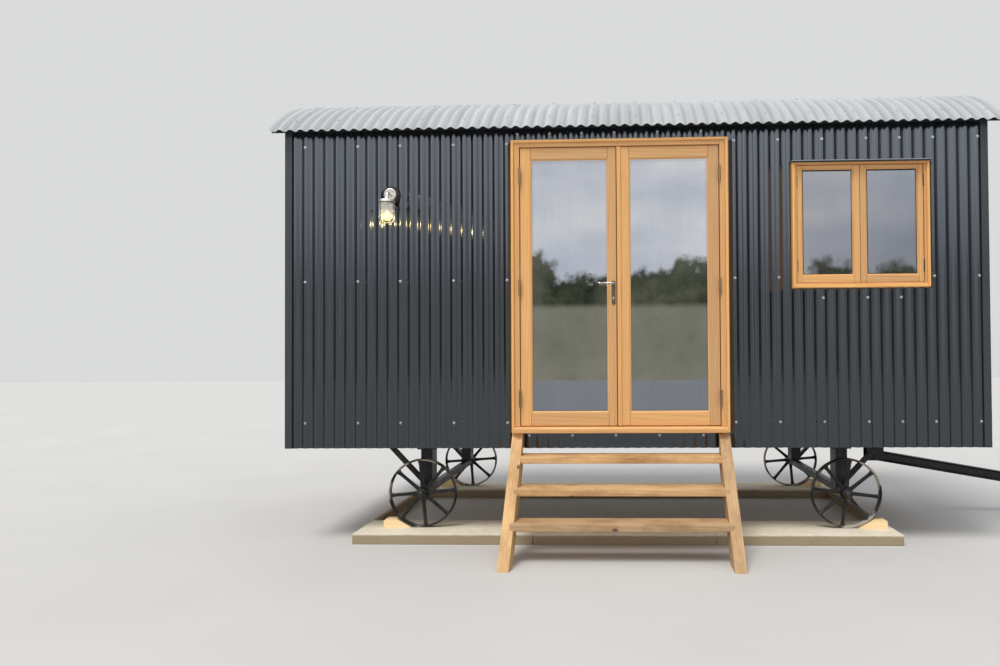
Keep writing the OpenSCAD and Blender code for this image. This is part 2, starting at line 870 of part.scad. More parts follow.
module left_door_leaf() {
    color(oak) placed() difference() {
        framed_leaf(left_leaf_low, left_leaf_high, hinge_stile, meeting_stile, bottom_rail, top_rail,
            leaf_front_y, leaf_back_y, door_glass_thickness);
        translate([lever_x, leaf_front_y, lever_z]) rotate([-90, 0, 0])
            cylinder(r = spindle_radius + pin_gap, h = 4 * leaf_thickness, center = true);
    }
}

module left_door_glass() {
    color(pane) placed()
        framed_glass(left_leaf_low, left_leaf_high, hinge_stile, meeting_stile, bottom_rail, top_rail,
            leaf_front_y, leaf_back_y, door_glass_thickness);
}

module right_door_leaf() {
    color(oak) placed() {
        framed_leaf(right_leaf_low, right_leaf_high, cover_stile, hinge_stile, bottom_rail, top_rail,
            leaf_front_y, leaf_back_y, door_glass_thickness);
        block([right_leaf_x, leaf_front_y - cover_strip_thickness, leaf_bottom],
            [right_leaf_x + cover_strip_width, leaf_front_y, leaf_top]);
    }
}

module right_door_glass() {
    color(pane) placed()
        framed_glass(right_leaf_low, right_leaf_high, cover_stile, hinge_stile, bottom_rail, top_rail,
            leaf_front_y, leaf_back_y, door_glass_thickness);
}

module handle_plate() {
    low_z = lever_z - plate_length * plate_drop_share;
    difference() {
        union() {
            block([lever_x - plate_width / 2, leaf_front_y - plate_thickness, low_z],
                [lever_x + plate_width / 2, leaf_front_y, low_z + plate_length]);
            translate([lever_x, leaf_front_y, lever_z - cylinder_drop]) rotate([90, 0, 0])
                cylinder(r = cylinder_radius, h = plate_thickness + cylinder_depth);
        }
        translate([lever_x, leaf_front_y, lever_z]) rotate([90, 0, 0])
            cylinder(r = spindle_radius + pin_gap, h = 2 * leaf_thickness, center = true);
    }
}

// Turns a fitting on the outside of the leaf into one on the inside
module other_face() {
    translate([0, leaf_front_y + leaf_back_y, 0]) mirror([0, 1, 0]) children();
}

module door_handle_plates() {
    color(steel) placed() {
        handle_plate();
        other_face() handle_plate();
    }
}

module lever() {
    stand_y = leaf_front_y - lever_stand;
    translate([lever_x, leaf_front_y - plate_thickness - seat_gap, lever_z]) rotate([90, 0, 0])
        cylinder(r = rose_radius, h = rose_depth);
    translate([lever_x, leaf_front_y + leaf_thickness / 2, lever_z]) rotate([90, 0, 0])
        cylinder(r = spindle_radius, h = leaf_thickness / 2 + lever_stand);
    translate([lever_x + lever_radius, stand_y, lever_z]) rotate([0, -90, 0])
        cylinder(r = lever_radius, h = lever_length);
}

module door_handle() {
    color(steel) placed() {
        lever();
        other_face() lever();
    }
}

module window_frame() {
    front = -crest_y - lining_proud;
    face = -crest_y - jamb_proud;
    color(oak) placed() difference() {
        union() {
            block([window_left, face, window_sill_height], [window_right, -wall_in_y, window_top]);
            difference() {
                block([window_left, front, window_sill_height], [window_right, face, window_top]);
                block([window_left + window_lining_width, front - overrun, window_sill_height + window_lining_width],
                    [window_right - window_lining_width, face, window_top - window_lining_width]);
            }
        }
        block([casement_left, front - overrun, casement_bottom], [casement_right, -wall_in_y + overrun, casement_top]);
    }
}

casement_low = [casement_left + casement_gap, casement_bottom + casement_gap];
casement_high = [casement_middle - casement_gap / 2, casement_top - casement_gap];

module casement_pair() {
    children();
    translate([2 * casement_middle, 0, 0]) mirror([1, 0, 0]) children();
}

module window_casements() {
    color(oak) placed() casement_pair() {
        framed_leaf(casement_low, casement_high, casement_stile - casement_gap, casement_meeting_stile,
            casement_bottom_rail, casement_top_rail, casement_front_y, casement_front_y + casement_thickness,
            window_glass_thickness);
        // Weather seal that joins the casement to its frame
        difference() {
            block([casement_left, casement_front_y + casement_thickness / 2, casement_bottom],
                [casement_middle, casement_front_y + casement_thickness, casement_top]);
            block([casement_low[0], casement_front_y, casement_low[1]],
                [casement_high[0], casement_front_y + casement_thickness + overrun, casement_high[1]]);
        }
    }
}

module window_panes() {
    color(pane) placed() casement_pair()
        framed_glass(casement_low, casement_high, casement_stile - casement_gap, casement_meeting_stile,
            casement_bottom_rail, casement_top_rail, casement_front_y, casement_front_y + casement_thickness,
            window_glass_thickness);
}

module window_drip() {
    color(trim_grey) placed()
        block([window_left - drip_thickness, -crest_y - drip_proud, window_top + seat_gap],
            [window_right + drip_thickness, -crest_y - seat_gap, window_top + seat_gap + drip_thickness]);
}

module lamp_block() {
    color(black_iron) placed()
        translate([lamp_place, -crest_y - seat_gap, lamp_height]) rotate([90, 0, 0])
            cylinder(r = lamp_block_radius, h = lamp_block_thickness);
}

module lamp_body() {
    color(steel) placed() {
        translate([lamp_place, lamp_block_front_y - seat_gap, lamp_height]) rotate([90, 0, 0])
            cylinder(r = lamp_box_radius, h = lamp_box_depth);
        translate([lamp_place, lamp_block_front_y - lamp_box_depth, lamp_height]) rotate([90, 0, 0])
            cylinder(r = lamp_arm_radius, h = lamp_block_front_y - lamp_box_depth - lamp_axis_y);
        translate([lamp_place, lamp_axis_y, lamp_height]) sphere(r = lamp_arm_radius);
        translate([lamp_place, lamp_axis_y, lamp_cap_bottom]) {
            cylinder(r = lamp_arm_radius, h = lamp_cap_drop);
            cylinder(r = lamp_cap_radius, h = lamp_cap_height);
            translate([0, 0, lamp_cap_height])
                cylinder(r1 = lamp_cap_radius, r2 = lamp_arm_radius, h = lamp_cone_height);
        }
    }
}

// Lamp holder with a round bulb low in the glass
module lamp_bulb() {
    bulb_drop = lamp_glass_length * lamp_bulb_share;
    color(warm_light) placed() translate([lamp_place, lamp_axis_y, lamp_cap_bottom - seat_gap]) {
        translate([0, 0, -bulb_drop]) cylinder(r = lamp_holder_radius, h = bulb_drop);
        translate([0, 0, -bulb_drop]) sphere(r = lamp_bulb_radius);
    }
}

module lamp_glass() {
    radius = lamp_glass_radius;
    color(pane) placed() translate([lamp_place, lamp_axis_y, lamp_cap_bottom - seat_gap]) difference() {
        union() {
            translate([0, 0, radius - lamp_glass_length]) cylinder(r = radius, h = lamp_glass_length - radius);
            translate([0, 0, radius - lamp_glass_length]) sphere(r = radius);
        }
        union() {
            translate([0, 0, radius - lamp_glass_length])
                cylinder(r = radius - lamp_glass_thickness, h = lamp_glass_length);
            translate([0, 0, radius - lamp_glass_length]) sphere(r = radius - lamp_glass_thickness);
        }
    }
}

module lamp_ring(radius, z) {
    translate([0, 0, z]) difference() {
        cylinder(r = radius + lamp_wire / 2, h = lamp_wire, center = true);
        cylinder(r = radius - lamp_wire / 2, h = lamp_wire + overrun, center = true);
    }
}

module lamp_cage() {
    color(steel) placed() translate([lamp_place, lamp_axis_y, lamp_cap_bottom - seat_gap]) {
        lamp_ring(lamp_cage_radius, -lamp_wire / 2);
        lamp_ring(lamp_cage_radius, -lamp_cage_length * lamp_ring_share);
        lamp_ring(lamp_cage_radius, lamp_wire / 2 - lamp_cage_length);
        for (i = [0 : lamp_bar_count - 1]) rotate([0, 0, 360 * (i + 1 / 2) / lamp_bar_count]) {
            translate([lamp_cage_radius, 0, -lamp_cage_length])
                cylinder(r = lamp_wire / 2, h = lamp_cage_length, $fn = 12);
            translate([0, 0, lamp_wire / 2 - lamp_cage_length]) rotate([0, 90, 0])
                cylinder(r = lamp_wire / 2, h = lamp_cage_radius, $fn = 12);
        }
    }
}

function tread_front_y(i) = -crest_y - tread_top_run - i * tread_going;
function tread_top_z(i) = tread_bottom_height + (2 - i) * tread_rise;

module tread(i, growth) {
    block([tread_left - growth, tread_front_y(i), tread_top_z(i) - tread_thickness - growth],
        [tread_right + growth, tread_front_y(i) + tread_depth, tread_top_z(i) + growth]);
}

module stringer() {
    rotate([90, 0, 90]) linear_extrude(stringer_width)
        polygon([
            [stringer_foot_y, 0],
            [stringer_foot_y + stringer_depth, 0],
            [stringer_top_y, stringer_cut_z],
            [stringer_top_y, stringer_top]
        ]);
}

module step_stringers() {
    color(step_oak) placed() difference() {
        union() {
            translate([door_left, 0, 0]) stringer();
            translate([door_right - stringer_width, 0, 0]) stringer();
        }
        for (i = [0 : 2]) tread(i, seat_gap);
    }
}

module step_treads() {
    color(step_oak) placed() for (i = [0 : 2]) tread(i, 0);
}

// A cast wheel with its cap towards -Y
module wheel(x, y, turn) {
    translate([x, y, wheel_z]) rotate([90, 0, 0]) difference() {
        union() {
            difference() {
                cylinder(r = wheel_radius, h = rim_width, center = true, $fn = 128);
                cylinder(r = wheel_radius - rim_thickness, h = rim_width + overrun, center = true, $fn = 128);
            }
            for (i = [0 : spoke_count - 1]) rotate([0, 0, 360 * i / spoke_count + turn])
                block([stub_radius + overrun, -spoke_width / 2, -spoke_thickness / 2],
                    [wheel_radius - spoke_inset, spoke_width / 2, spoke_thickness / 2]);
            cylinder(r = hub_radius, h = hub_length, center = true);
            translate([0, 0, hub_length / 2]) cylinder(r = hub_cap_radius, h = hub_cap_length);
        }
        translate([0, 0, -hub_length]) cylinder(r = stub_radius + pin_gap, h = hub_length * 3 / 2);
    }
}

module front_left_wheel() {
    color(black_iron) placed() wheel(-axle_distance, -wheel_y, spoke_turns[0]);
}

module front_right_wheel() {
    color(black_iron) placed() wheel(axle_distance, -wheel_y, spoke_turns[1]);
}

module rear_left_wheel() {
    color(black_iron) placed() mirror([0, 1, 0]) wheel(-axle_distance, -wheel_y, spoke_turns[2]);
}

module rear_right_wheel() {
    color(black_iron) placed() mirror([0, 1, 0]) wheel(axle_distance, -wheel_y, spoke_turns[3]);
}

module drawbar() {
    color(black_iron) placed()
        translate([drawbar_pin_x, 0, drawbar_pin_height]) rotate([0, drawbar_slope, 0]) {
            difference() {
                block([-drawbar_tail, -drawbar_width / 2, -drawbar_depth / 2],
                    [drawbar_length, drawbar_width / 2, drawbar_depth / 2]);
                rotate([90, 0, 0])
                    cylinder(r = drawbar_pin_radius + pin_gap, h = drawbar_width + overrun, center = true);
            }
            difference() {
                union() {
                    translate([eye_distance, 0, 0]) cylinder(r = eye_radius, h = eye_thickness, center = true);
                    block([drawbar_length, -eye_neck_width / 2, -eye_thickness / 2],
                        [eye_distance, eye_neck_width / 2, eye_thickness / 2]);
                }
                translate([eye_distance, 0, 0])
                    cylinder(r = eye_hole_radius, h = eye_thickness + overrun, center = true);
            }
        }
}

plinth_long_strips();
plinth_end_boards();
wheel_chocks();
chassis_rails();
chassis_cross_members();
left_axle_beam();
right_axle_beam();
axle_struts();
drawbar_bracket();
floor();
front_wall_left();
front_wall_right();
front_wall_at_door();
rear_wall();
left_end_wall();
right_end_wall();
wall_plates();
front_cladding_left();
front_cladding_right();
front_cladding_at_door();
rear_cladding();
end_claddings();
corner_trims();
roof_boards();
roof_sheet();
door_jambs();
door_head();
door_threshold();
door_hinge_knuckles();
window_frame();
window_casements();
window_panes();
window_drip();
lamp_block();
lamp_body();
lamp_bulb();
lamp_glass();
lamp_cage();
step_stringers();
step_treads();
left_door_leaf();
left_door_glass();
left_door_flaps();
door_handle_plates();
door_handle();
right_door_leaf();
right_door_glass();
right_door_flaps();
front_left_wheel();
front_right_wheel();
rear_left_wheel();
rear_right_wheel();
drawbar();
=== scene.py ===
import math
import random

import bmesh
import bpy
from mathutils import Matrix, Vector


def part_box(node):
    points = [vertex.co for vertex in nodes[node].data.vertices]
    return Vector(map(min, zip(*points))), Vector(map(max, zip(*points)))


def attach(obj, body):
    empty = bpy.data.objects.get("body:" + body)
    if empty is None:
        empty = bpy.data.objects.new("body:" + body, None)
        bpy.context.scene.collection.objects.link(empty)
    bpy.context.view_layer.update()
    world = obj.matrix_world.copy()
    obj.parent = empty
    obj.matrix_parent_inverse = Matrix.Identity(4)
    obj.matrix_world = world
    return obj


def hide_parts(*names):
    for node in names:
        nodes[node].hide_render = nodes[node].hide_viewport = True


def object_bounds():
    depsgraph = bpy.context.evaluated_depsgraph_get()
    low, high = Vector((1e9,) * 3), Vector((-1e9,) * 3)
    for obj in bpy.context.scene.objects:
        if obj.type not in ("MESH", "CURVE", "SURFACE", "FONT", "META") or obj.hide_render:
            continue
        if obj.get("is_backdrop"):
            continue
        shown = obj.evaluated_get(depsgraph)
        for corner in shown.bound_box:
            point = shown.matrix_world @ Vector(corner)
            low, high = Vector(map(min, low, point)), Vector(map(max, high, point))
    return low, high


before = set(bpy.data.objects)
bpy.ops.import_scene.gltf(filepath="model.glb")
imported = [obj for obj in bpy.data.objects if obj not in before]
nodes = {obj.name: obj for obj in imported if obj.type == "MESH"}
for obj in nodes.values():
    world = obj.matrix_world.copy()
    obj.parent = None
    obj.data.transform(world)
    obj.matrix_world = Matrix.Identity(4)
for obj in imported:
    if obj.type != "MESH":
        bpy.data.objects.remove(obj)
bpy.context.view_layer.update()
random.seed(11)

# The hut's own middle, in the row frame
low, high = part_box("roof_boards")
MID_X, MID_Y = (low.x + high.x) / 2, (low.y + high.y) / 2
OUT, UP = (0, -1, 0), (0, 0, 1)
# Sizes that no box of a node gives, in metres
PITCH = 0.0762
SHEET = 0.0012
WHEEL_RADIUS = 0.248
AXLE_X = 1.535
WHEEL_Y = 0.885


def hut(x, y, z):
    """A place measured from the middle of the hut, in the row frame."""
    return Vector((MID_X + x, MID_Y + y, z))


def span(node):
    """A node's extent along x, y and z, measured from the middle of the hut."""
    low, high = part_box(node)
    return (low.x - MID_X, high.x - MID_X), (low.y - MID_Y, high.y - MID_Y), (low.z, high.z)


def middle(pair):
    return (pair[0] + pair[1]) / 2


def ordered(a, b):
    return min(a, b), max(a, b)


def polar(radius, degrees):
    return radius * math.cos(math.radians(degrees)), radius * math.sin(math.radians(degrees))


def turn_to(direction, place):
    """Z turned to a direction, at a place."""
    return Matrix.Translation(place) @ Vector(direction).to_track_quat("Z", "Y").to_matrix().to_4x4()


def new_object(name, data, material=None):
    obj = bpy.data.objects.new(name, data)
    bpy.context.scene.collection.objects.link(obj)
    if material:
        data.materials.append(material)
    return obj


# Camera
def camera():
    """Fitted to the screw rows, the door frame and the wheels of the photograph."""
    data = bpy.data.cameras.new("camera")
    data.sensor_width = 36
    data.lens = 26.82
    data.shift_x = -0.0932
    data.shift_y = 0.0128
    yaw, pitch, roll = (math.radians(v) for v in (-2.097, 0.977, -0.353))
    ahead = Vector((math.sin(yaw) * math.cos(pitch), math.cos(yaw) * math.cos(pitch), math.sin(pitch)))
    right = Vector((math.cos(yaw), -math.sin(yaw), 0))
    up = right.cross(ahead)
    turned_right = math.cos(roll) * right + math.sin(roll) * up
    turned_up = -math.sin(roll) * right + math.cos(roll) * up
    place = hut(-0.079, -6.324, 1.300)
    obj = new_object("camera", data)
    obj.matrix_world = Matrix((*zip(turned_right, turned_up, -ahead, place), (0, 0, 0, 1)))
    bpy.context.scene.camera = obj


camera()


# Materials
class Nodes:
    """A node tree whose nodes are added one by one."""

    def __init__(self, tree):
        self.tree = tree

    def node(self, kind, **values):
        n = self.tree.nodes.new("ShaderNode" + kind)
        for key, value in values.items():
            if hasattr(n, key):
                setattr(n, key, value)
            else:
                n.inputs[key.replace("_", " ")].default_value = value
        return n

    def link(self, a, b):
        self.tree.links.new(a, b)

    def feed(self, socket, value):
        """A number, a colour or another node's output goes into a socket."""
        if isinstance(value, (int, float)):
            socket.default_value = value
        elif isinstance(value, tuple):
            socket.default_value = (*value, 1)
        else:
            self.link(value, socket)

    def coords(self, scale=(1, 1, 1), attribute=None, output="Object"):
        if attribute:
            source = self.node("Attribute", attribute_name=attribute).outputs["Vector"]
        else:
            source = self.node("TexCoord").outputs[output]
        mapping = self.node("Mapping", Scale=scale)
        self.link(source, mapping.inputs["Vector"])
        return mapping.outputs["Vector"]

    def place(self, output="Object"):
        """The three coordinates, one socket each."""
        split = self.node("SeparateXYZ")
        self.link(self.node("TexCoord").outputs[output], split.inputs["Vector"])
        return [split.outputs[axis] for axis in "XYZ"]

    def noise(self, coords, scale, detail=4, roughness=0.55, distortion=0.0):
        n = self.node("TexNoise", Scale=scale, Detail=detail, Roughness=roughness, Distortion=distortion)
        self.link(coords, n.inputs["Vector"])
        return n.outputs["Fac"]

    def ramp(self, factor, stops, ease=False):
        n = self.node("ValToRGB")
        if ease:
            n.color_ramp.interpolation = "EASE"
        while len(n.color_ramp.elements) < len(stops):
            n.color_ramp.elements.new(0.5)
        for element, (place, colour) in zip(n.color_ramp.elements, stops):
            element.position = place
            if isinstance(colour, (int, float)):
                colour = (colour, colour, colour)
            element.color = (*colour, 1)
        self.link(factor, n.inputs["Fac"])
        return n.outputs["Color"]

    def mix(self, factor, a, b, blend="MIX"):
        n = self.node("Mix", data_type="RGBA", blend_type=blend)
        for socket, value in ((n.inputs["Factor"], factor), (n.inputs[6], a), (n.inputs[7], b)):
            self.feed(socket, value)
        return n.outputs[2]

    def math(self, operation, *values):
        n = self.node("Math", operation=operation)
        for socket, value in zip(n.inputs, values):
            self.feed(socket, value)
        return n.outputs[0]

    def over(self, base, colour, mask, lo, hi, amount=1.0, blend="MIX", ease=False):
        """A colour laid over the base where the mask rises from lo to hi."""
        strength = self.ramp(mask, ((lo, 0.0), (hi, 1.0)), ease)
        if amount != 1.0:
            strength = self.math("MULTIPLY", strength, amount)
        return self.mix(strength, base, colour, blend)


class Shader(Nodes):
    """A material on the Principled shader."""

    def __init__(self, name, roughness=0.5, metallic=0.0, **values):
        self.mat = bpy.data.materials.new(name)
        self.mat.use_nodes = True
        super().__init__(self.mat.node_tree)
        self.bsdf = self.tree.nodes["Principled BSDF"]
        for key, value in {"Roughness": roughness, "Metallic": metallic, **values}.items():
            self.bsdf.inputs[key.replace("_", " ")].default_value = value

    def colour(self, value):
        self.link(value, self.bsdf.inputs["Base Color"])

    def roughness(self, mask, lo, least, hi, most):
        self.link(self.ramp(mask, ((lo, least), (hi, most))), self.bsdf.inputs["Roughness"])

    def bump(self, height, strength=0.3, distance=0.001):
        n = self.node("Bump", Strength=strength, Distance=distance)
        self.link(height, n.inputs["Height"])
        previous = self.bsdf.inputs["Normal"].links
        if previous:
            self.link(previous[0].from_socket, n.inputs["Normal"])
        self.link(n.outputs["Normal"], self.bsdf.inputs["Normal"])


def shade(factor, colour):
    return tuple(factor * c for c in colour)


def wood(name, light, dark, line, roughness=0.45, weather=0.0):
    """Planks: the point attribute grain runs along its Z; a second attribute varies the brightness from board
    to board, at random, or set per board where it paints light and shade.
    """
    s = Shader(name, roughness)
    fine = s.noise(s.coords((1, 1, 0.012), "grain"), 260, 6, 0.65)
    broad = s.noise(s.coords((1, 1, 0.08), "grain"), 14, 3, 0.5, 0.4)
    rings = s.node("TexWave", bands_direction="DIAGONAL", Scale=30, Distortion=5.0, Detail=2)
    s.link(s.coords((1, 1, 0.030), "grain"), rings.inputs["Vector"])
    base = s.over(light, dark, rings.outputs["Fac"], 0.20, 1.0, 0.55, ease=True)
    base = s.over(base, line, fine, 0.52, 0.74, 0.60)
    base = s.over(base, dark, broad, 0.35, 0.75, 0.45)
    # Painted light and shade where a board is given a set value: lit faces paler, shaded ones darker
    tint = s.node("Attribute", attribute_name="tint").outputs["Fac"]
    value = s.node("HueSaturation", Hue=0.5)
    s.link(s.math("ADD", s.math("MULTIPLY", tint, 0.08), 0.94), value.inputs["Saturation"])
    s.link(s.math("ADD", s.math("MULTIPLY", tint, 0.30), 0.87), value.inputs["Value"])
    s.link(base, value.inputs["Color"])
    base = value.outputs["Color"]
    if weather:
        stain = s.noise(s.coords((1, 1, 0.5), "grain"), 7, 6, 0.6)
        base = s.over(base, (0.42, 0.33, 0.24), stain, 0.45, 0.72, weather, "MULTIPLY")
        knots = s.node("TexVoronoi", Scale=8)
        s.link(s.coords((1, 1, 0.6), "grain"), knots.inputs["Vector"])
        near = s.math("ADD", knots.outputs["Distance"], s.math("MULTIPLY", fine, 0.02))
        base = s.mix(s.ramp(near, ((0.075, 0.9), (0.120, 0.0))), base, (0.09, 0.05, 0.025))
    s.colour(base)
    s.roughness(fine, 0.3, roughness - 0.08, 0.8, roughness + 0.18)
    s.bump(fine, 0.35, 0.0006)
    return s.mat


def sheet_paint(name, colour, chalk, roughness, stain=0.25, long_axis=(1, 1, 0.08), ior=1.5, valley_colour=None):
    """Paint on sheet metal, chalky in long streaks and soft patches."""
    s = Shader(name, roughness, IOR=ior, Specular_Tint=(0.88, 0.94, 1.0, 1))
    streak = s.noise(s.coords(long_axis), 9, 5, 0.6)
    cloud = s.noise(s.coords(), 1.3, 4, 0.55)
    speck = s.noise(s.coords(), 160, 2, 0.5)
    base = s.over(colour, chalk, streak, 0.42, 0.70, stain)
    base = s.over(base, chalk, cloud, 0.40, 0.70, stain)
    if valley_colour:
        # Darker, greener colour in the valleys of a corrugated roof, in patches
        fold = s.math("PINGPONG", s.math("SUBTRACT", s.place()[0], MID_X), PITCH / 2)
        rise = s.math("MULTIPLY", fold, 2 / PITCH)
        low_place = s.ramp(rise, ((0.05, 1.0), (0.55, 0.0)))
        in_valleys = s.math("MULTIPLY", low_place, s.ramp(streak, ((0.25, 0.25), (0.75, 0.75))))
        base = s.mix(in_valleys, base, valley_colour)
    s.colour(base)
    s.roughness(streak, 0.3, roughness - 0.03, 0.75, roughness + 0.08)
    s.bump(speck, 0.04, 0.0003)
    return s.mat


def iron():
    """Black paint on cast and rolled iron, dusty in places."""
    s = Shader("black_iron", 0.38, 0.0, Coat_Weight=0.35, Coat_Roughness=0.22)
    dust = s.noise(s.coords(), 14, 6, 0.62)
    grit = s.noise(s.coords(), 240, 3, 0.6)
    s.colour(s.over((0.012, 0.013, 0.015), (0.075, 0.068, 0.058), dust, 0.46, 0.74, 0.45))
    s.roughness(dust, 0.35, 0.30, 0.75, 0.62)
    s.bump(grit, 0.22, 0.0006)
    s.bump(dust, 0.10, 0.002)
    return s.mat


def tyre():
    """Black paint worn off the tyre in patches, down to dusty bright iron."""
    s = Shader("tyre_iron", 0.42)
    worn = s.noise(s.coords(), 5.5, 4, 0.55)
    grit = s.noise(s.coords(), 120, 4, 0.6)
    patch = s.ramp(s.math("ADD", worn, s.math("MULTIPLY", grit, 0.12)), ((0.53, 0.0), (0.62, 1.0)))
    s.colour(s.mix(patch, (0.020, 0.021, 0.023), (0.50, 0.46, 0.40)))
    s.roughness(patch, 0.0, 0.36, 1.0, 0.60)
    s.bump(grit, 0.25, 0.0008)
    return s.mat


def concrete():
    """Cast slabs: pale and gritty on top, brown down the sides."""
    s = Shader("slab_concrete", 0.86)
    grit = s.noise(s.coords(), 230, 5, 0.7)
    patch = s.noise(s.coords(), 3.5, 6, 0.6)
    stain = s.noise(s.coords(), 11, 5, 0.65)
    base = s.over((0.80, 0.72, 0.57), (0.92, 0.85, 0.70), patch, 0.3, 0.7)
    base = s.over(base, (0.50, 0.43, 0.31), stain, 0.5, 0.72, 0.40)
    base = s.over(base, (0.30, 0.27, 0.22), grit, 0.55, 0.75, 0.35)
    side = s.math("ADD", s.place()[2], s.math("MULTIPLY", s.math("SUBTRACT", stain, 0.5), 0.02))
    s.colour(s.mix(s.ramp(side, ((0.058, 0.80), (0.072, 0.0))), base, (0.29, 0.205, 0.105)))
    s.bump(grit, 0.45, 0.0012)
    s.bump(stain, 0.3, 0.003)
    return s.mat


def metal(name, colour, roughness, scale=60):
    s = Shader(name, roughness, 1.0)
    brush = s.noise(s.coords(), scale, 5, 0.6)
    smear = s.noise(s.coords(), 12, 3, 0.5)
    s.colour(s.over(colour, shade(0.72, colour), smear, 0.35, 0.75))
    s.roughness(brush, 0.3, max(roughness - 0.08, 0.03), 0.75, roughness + 0.12)
    s.bump(brush, 0.05, 0.0003)
    return s.mat


def glazing(name, tone):
    """Coated double glazing: part mirror, part clear, with faint streaks of dust."""
    s = Shader(name, 0.02, 0.60, IOR=1.45, Transmission_Weight=1.0)
    haze = s.noise(s.coords((1, 1, 0.3)), 6, 4, 0.6)
    s.colour(s.ramp(haze, ((0.3, shade(tone, (0.84, 0.86, 0.90))), (0.75, shade(tone, (0.78, 0.80, 0.84))))))
    s.roughness(haze, 0.45, 0.004, 0.80, 0.025)
    return s.mat


def clear_glass():
    """The lamp's glass, with the light of its bulb painted on as a glow, warm low down and faint above."""
    s = Shader("lamp_glass", 0.02, 0.0, IOR=1.45, Transmission_Weight=1.0, Emission_Strength=0.8)
    ripple = s.noise(s.coords(), 40, 2, 0.5)
    s.colour(s.ramp(ripple, ((0.3, (0.98, 0.97, 0.93)), (0.8, (0.92, 0.91, 0.88)))))
    # Painted glow: the glass emits warm light where its bulb would light it, and little higher up
    height = s.math("MULTIPLY", s.math("SUBTRACT", s.place()[2], 2.262), 10)
    painted_glow = s.ramp(height, ((0.0, (0.55, 0.40, 0.12)), (0.35, (0.60, 0.46, 0.16)),
                             (0.62, (0.15, 0.14, 0.11)), (1.0, (0.12, 0.12, 0.11))))
    s.link(painted_glow, s.bsdf.inputs["Emission Color"])
    s.bump(ripple, 0.08, 0.0006)
    return s.mat


def plain(name, colour, roughness):
    s = Shader(name, roughness)
    fleck = s.noise(s.coords(), 90, 4, 0.6)
    s.colour(s.ramp(fleck, ((0.3, colour), (0.8, shade(0.75, colour)))))
    s.bump(fleck, 0.12, 0.0005)
    return s.mat


def glow(name, colour, strength):
    s = Shader(name, 0.4, Emission_Color=(*colour, 1), Emission_Strength=strength)
    core = s.noise(s.coords(), 30, 2, 0.5)
    s.colour(s.ramp(core, ((0.2, colour), (0.9, shade(0.9, colour)))))
    return s.mat


def boards_paint(name, shade_eaves=False):
    """Matchboard lining: narrow boards with a shadow line between them; on the roof, painted shade makes the
    boards very dark where they reach past the walls under the eaves.
    """
    s = Shader(name, 0.6)
    x, y, _ = s.place()
    line = s.math("PINGPONG", s.math("ADD", x, y), 0.045)
    grain = s.noise(s.coords((1, 1, 0.05)), 60, 5, 0.6)
    base = s.ramp(grain, ((0.35, (0.55, 0.43, 0.29)), (0.7, (0.42, 0.31, 0.20))))
    base = s.mix(s.ramp(line, ((0.0, 1.0), (0.003, 0.0))), base, (0.10, 0.07, 0.05))
    if shade_eaves:
        # Painted shade: past the walls, under the eaves, the boards turn very dark
        past_y, past_x = (s.math("GREATER_THAN", s.math("ABSOLUTE", s.math("SUBTRACT", axis, mid)), wall)
                          for axis, mid, wall in ((y, MID_Y, 1.0), (x, MID_X, 2.40)))
        black = s.mix(grain, (0.004, 0.004, 0.005), (0.009, 0.009, 0.009))
        base = s.mix(s.math("MAXIMUM", past_x, past_y), base, black)
    s.colour(base)
    s.bump(s.ramp(line, ((0.0, 0.0), (0.004, 1.0))), 0.6, 0.002)
    s.bump(grain, 0.2, 0.0006)
    return s.mat


OAK = wood("oak", (0.84, 0.480, 0.190), (0.69, 0.350, 0.125), (0.46, 0.215, 0.070), 0.42)
STEP_OAK = wood("step_oak", (0.76, 0.485, 0.235), (0.61, 0.36, 0.155), (0.30, 0.155, 0.065), 0.62, 0.75)
CHOCK = wood("chock_wood", (0.98, 0.78, 0.47), (0.92, 0.68, 0.37), (0.62, 0.42, 0.20), 0.65)
EDGING = wood("edging_board", (0.42, 0.31, 0.19), (0.30, 0.21, 0.12), (0.16, 0.11, 0.06), 0.8, 0.7)
WALL = sheet_paint("anthracite_sheet", (0.012, 0.0145, 0.018), (0.021, 0.024, 0.029), 0.12, ior=2.35)
TRIM = sheet_paint("corner_trim", (0.050, 0.054, 0.060), (0.078, 0.080, 0.082), 0.30)
DRIP = sheet_paint("drip_strip", (0.34, 0.35, 0.37), (0.26, 0.27, 0.28), 0.25)
ROOF = sheet_paint("roof_sheet", (0.53, 0.555, 0.565), (0.38, 0.395, 0.40), 0.22, 0.60, (1, 0.1, 0.1), 1.6,
                   (0.20, 0.21, 0.195))
BLACK = iron()
TYRE = tyre()
CONCRETE = concrete()
BRONZE = metal("bronze_hinge", (0.30, 0.21, 0.14), 0.30)
HINGE = metal("door_hinges", (0.52, 0.37, 0.22), 0.36)
LAMP_METAL = metal("lamp_metal", (0.98, 0.94, 0.86), 0.44, 90)
POLISHED = metal("polished_steel", (0.78, 0.76, 0.72), 0.14)
SCREW = metal("screw_heads", (0.86, 0.87, 0.88), 0.36)
GLAZING = glazing("glazing", 0.98)
WINDOW_GLAZING = glazing("window_glazing", 0.68)
LAMP_GLASS = clear_glass()
# Rubber of the seals, gasket and lamp backplate, and also the colour of painted shadows: under the drip
# strip, in the keyholes and at each glass seal's widened head
BLACK_RUBBER_AND_SHADOW = plain("black_rubber_and_shadow", (0.012, 0.012, 0.012), 0.6)
BULB = glow("bulb", (1.0, 0.80, 0.30), 1.9)
LINING = boards_paint("lining_boards")
ROOF_BOARDS = boards_paint("roof_boards_eave_shade", True)


